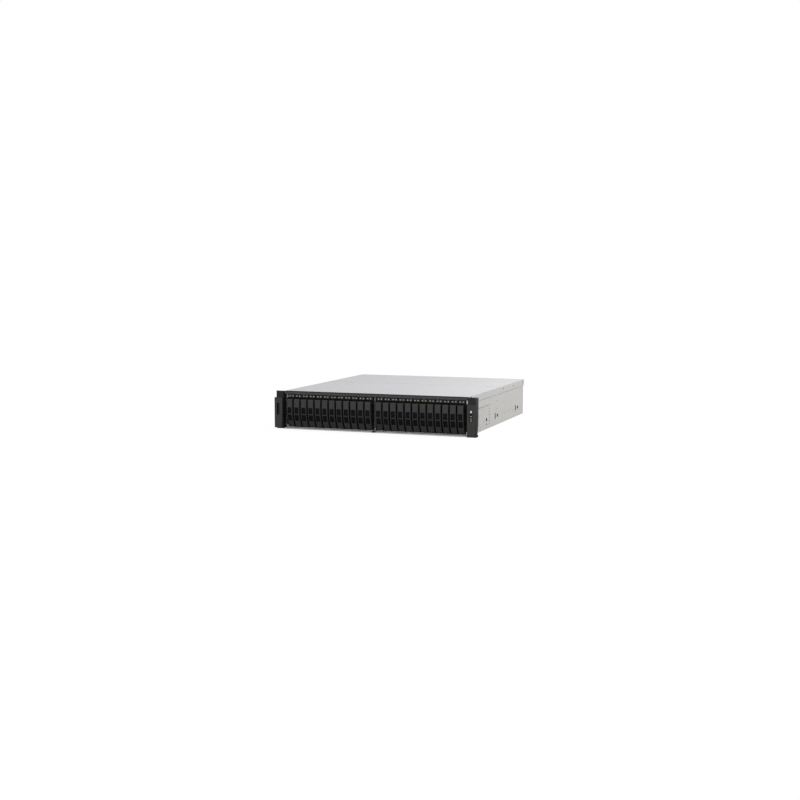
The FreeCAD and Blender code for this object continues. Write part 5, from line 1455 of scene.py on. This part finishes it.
# %% Free places on the board
board_low, board_high = box_mm("motherboard")
PART_MARGIN = 1.5
RIM_MARGIN = 4
kept_free = {
    "heat sink": (-48.0, 261.0, 48.0, 375.0),
    "left memory": (-94.0, 236.0, -54.0, 400.0),
    "right memory": (54.0, 236.0, 94.0, 400.0),
    "card sockets": (60.0, 405.0, 154.0, 478.0),
    "ports": (-122.0, 432.0, -4.0, 478.0),
    "chipset cooler": (9.0, 411.0, 47.0, 449.0),
}
taken = list(kept_free.values())
draw = random.Random(24)


def free_place(width, length):
    """A random place on the board for a part, or None when it meets another one."""
    from_x, from_y = RIM_MARGIN + width / 2, RIM_MARGIN + length / 2
    x = draw.uniform(board_low.x + from_x, board_high.x - from_x)
    y = draw.uniform(board_low.y + from_y, board_high.y - from_y)
    half_x, half_y = width / 2 + PART_MARGIN, length / 2 + PART_MARGIN
    room = (x - half_x, y - half_y, x + half_x, y + half_y)
    for other in taken:
        if room[0] < other[2] and other[0] < room[2] and room[1] < other[3] and other[1] < room[3]:
            return None
    taken.append(room)
    return x, y


def scatter(count, width, length):
    """Places for up to a number of equal parts."""
    places = [free_place(width, length) for _ in range(count)]
    return [found for found in places if found]


print("areas kept free on the board:", list(kept_free))

# %% Scattered board parts
LARGE_PACKAGES = [(18.0, 18.0, 1.6, 10), (10.0, 10.0, 6.5, 26), (8.0, 5.0, 1.4, 50)]
SMALL_PACKAGES = (3.0, 2.0, 1.0, 160)
CANS, CAN_WIDTH, CAN_SIDES = 46, 6.4, 12
CAN_PROFILE = [(3.2, 0.0), (3.2, 8.4), (2.9, 8.8)]


def add_packages(mesh, width, length, height, count):
    """Scatters flat packages on the board."""
    for x, y in scatter(count, width, length):
        add_block(mesh, (x - width / 2, y - length / 2, BOARD_TOP),
                  (x + width / 2, y + length / 2, BOARD_TOP + height))


packages, cans = bmesh.new(), bmesh.new()
for size_and_count in LARGE_PACKAGES:
    add_packages(packages, *size_and_count)
for x, y in scatter(CANS, CAN_WIDTH, CAN_WIDTH):
    add_turned(cans, (x, y, BOARD_TOP), (0, 0, 1), CAN_PROFILE, sides=CAN_SIDES)
add_packages(packages, *SMALL_PACKAGES)
add_piece("board_packages", packages, chip_plastic, edge_mm=0.2)
add_piece("board_cans", cans, drive_metal)
print("places taken on the board:", len(taken))

# %% Chipset cooler
COOLER_LOW, COOLER_HIGH = (11.0, 413.0), (45.0, 447.0)
COOLER_PLATE, COOLER_HEIGHT = BOARD_TOP + 4, BOARD_TOP + 15
FIN_HALF = 0.7
FIN_PLACES = [(COOLER_LOW[0] + COOLER_HIGH[0]) / 2 + (n - 3.5) * 4.6 for n in range(8)]

coolers = bmesh.new()
add_block(coolers, (*COOLER_LOW, BOARD_TOP), (*COOLER_HIGH, COOLER_PLATE))
for x in FIN_PLACES:
    add_block(coolers, (x - FIN_HALF, COOLER_LOW[1], COOLER_PLATE),
              (x + FIN_HALF, COOLER_HIGH[1], COOLER_HEIGHT))
add_piece("board_coolers", coolers, fin_aluminium, edge_mm=0.15)
print("cooler fins:", len(FIN_PLACES))

# %% [markdown]
# ## Stage and light
# The studio is a white floor under an even white sky. A soft sun, low in front and slightly to the left,
# gives edges and gaps a shaded side, and a large lamp near the object, above its right side, lights the
# side wall and the top. The camera sees a white floor that keeps a faint shadow, while light that bounces
# finds a darker one, so that the undersides stay dark. All of it is held at a level where a colour renders
# about as it is written.

# %% Floor
FLOOR_SIZE = 40.0
FLOOR_DROP = 0.3
FLOOR_GLOW = 0.85
FLOOR_GLOW_STRENGTH = 1.075

floor_mesh = bmesh.new()
bmesh.ops.create_grid(floor_mesh, x_segments=1, y_segments=1, size=FLOOR_SIZE / 2)
floor_data = bpy.data.meshes.new("floor")
floor_mesh.to_mesh(floor_data)
floor_mesh.free()
floor = bpy.data.objects.new("floor", floor_data)
floor.location.z = cad_low.z - FLOOR_DROP * MM
bpy.context.scene.collection.objects.link(floor)
floor_finish = new_finish("studio_floor", grey(165), 0.9)
dark_floor = shader_of(floor_finish)
dark_floor.inputs["Specular IOR Level"].default_value = 0.0
white = add_node(floor_finish, "BsdfDiffuse", {"Color": grey(252)}).outputs["BSDF"]
glow = add_node(floor_finish, "Emission", {"Color": grey(255), "Strength": FLOOR_GLOW_STRENGTH})
bright_sockets = {"Fac": FLOOR_GLOW, 1: white, 2: glow.outputs["Emission"]}
bright = add_node(floor_finish, "MixShader", bright_sockets).outputs["Shader"]
seen_directly = add_node(floor_finish, "LightPath", {}).outputs["Is Camera Ray"]
floor_sockets = {"Fac": seen_directly, 1: dark_floor.outputs["BSDF"], 2: bright}
either = add_node(floor_finish, "MixShader", floor_sockets).outputs["Shader"]
floor_tree = floor_finish.node_tree
floor_tree.links.new(either, floor_tree.nodes["Material Output"].inputs["Surface"])
floor_data.materials.append(floor_finish)
print("floor of", FLOOR_SIZE, "m at", round(floor.location.z, 4))

# %% Sky
SKY_LIGHT = 0.5

world = bpy.data.worlds.new("studio")
world.use_nodes = True
bpy.context.scene.world = world
sky = world.node_tree.nodes["Background"]
sky.inputs["Color"].default_value = (1, 1, 1, 1)
sky_rays = add_node(world, "LightPath", {}).outputs
seen = calculate(world, "MAXIMUM", sky_rays["Is Camera Ray"], sky_rays["Is Glossy Ray"])
clear = calculate(world, "MAXIMUM", seen, sky_rays["Is Transmission Ray"])
strength = spread(world, clear, start=0.0, end=1.0, low=SKY_LIGHT, high=1.0)
world.node_tree.links.new(strength, sky.inputs["Strength"])
print("sky lights at", SKY_LIGHT, "and looks white")

# %% Sun and lamp
SUN_STRENGTH = 0.72
SUN_ANGLE = 40.0
SUN_FROM = (-0.3, -1.0, 0.4)
LAMP_PLACE = (0.95, 0.45, 0.75)
LAMP_SIZE = 0.6
LAMP_POWER = 8.2


def add_light(name, kind, energy, source):
    """Adds a light that shines from a place towards the origin."""
    data = bpy.data.lights.new(name, kind)
    data.energy = energy
    light = bpy.data.objects.new(name, data)
    light.rotation_euler = Vector(source).to_track_quat("Z", "Y").to_euler()
    bpy.context.scene.collection.objects.link(light)
    return light


sun = add_light("studio_sun", "SUN", SUN_STRENGTH, SUN_FROM)
sun.data.angle = math.radians(SUN_ANGLE)
lamp = add_light("studio_lamp", "AREA", LAMP_POWER, LAMP_PLACE)
lamp.data.size = LAMP_SIZE
lamp.location = LAMP_PLACE
print("sun", SUN_STRENGTH, "lamp", LAMP_POWER)

# %% [markdown]
# ## Camera
# The camera stands a little to the right and above, far away, so the box looks nearly parallel. Its place
# and lens come from matching the corners of the real box to the picture.

# %% Place the camera
CAMERA_PLACE = (0.9717, -2.5229, 0.3088)
CAMERA_PITCH = 5.9
CAMERA_YAW = 19.86
LENS_MM = 54.92
SENSOR_MM = 36.0

camera_data = bpy.data.cameras.new("camera")
camera_data.lens = LENS_MM
camera_data.sensor_width = SENSOR_MM
camera = bpy.data.objects.new("camera", camera_data)
camera.location = CAMERA_PLACE
camera.rotation_euler = (math.radians(90 - CAMERA_PITCH), 0, math.radians(CAMERA_YAW))
bpy.context.scene.collection.objects.link(camera)
bpy.context.scene.camera = camera
bpy.context.scene.view_settings.view_transform = "Standard"
print("camera at", CAMERA_PLACE)
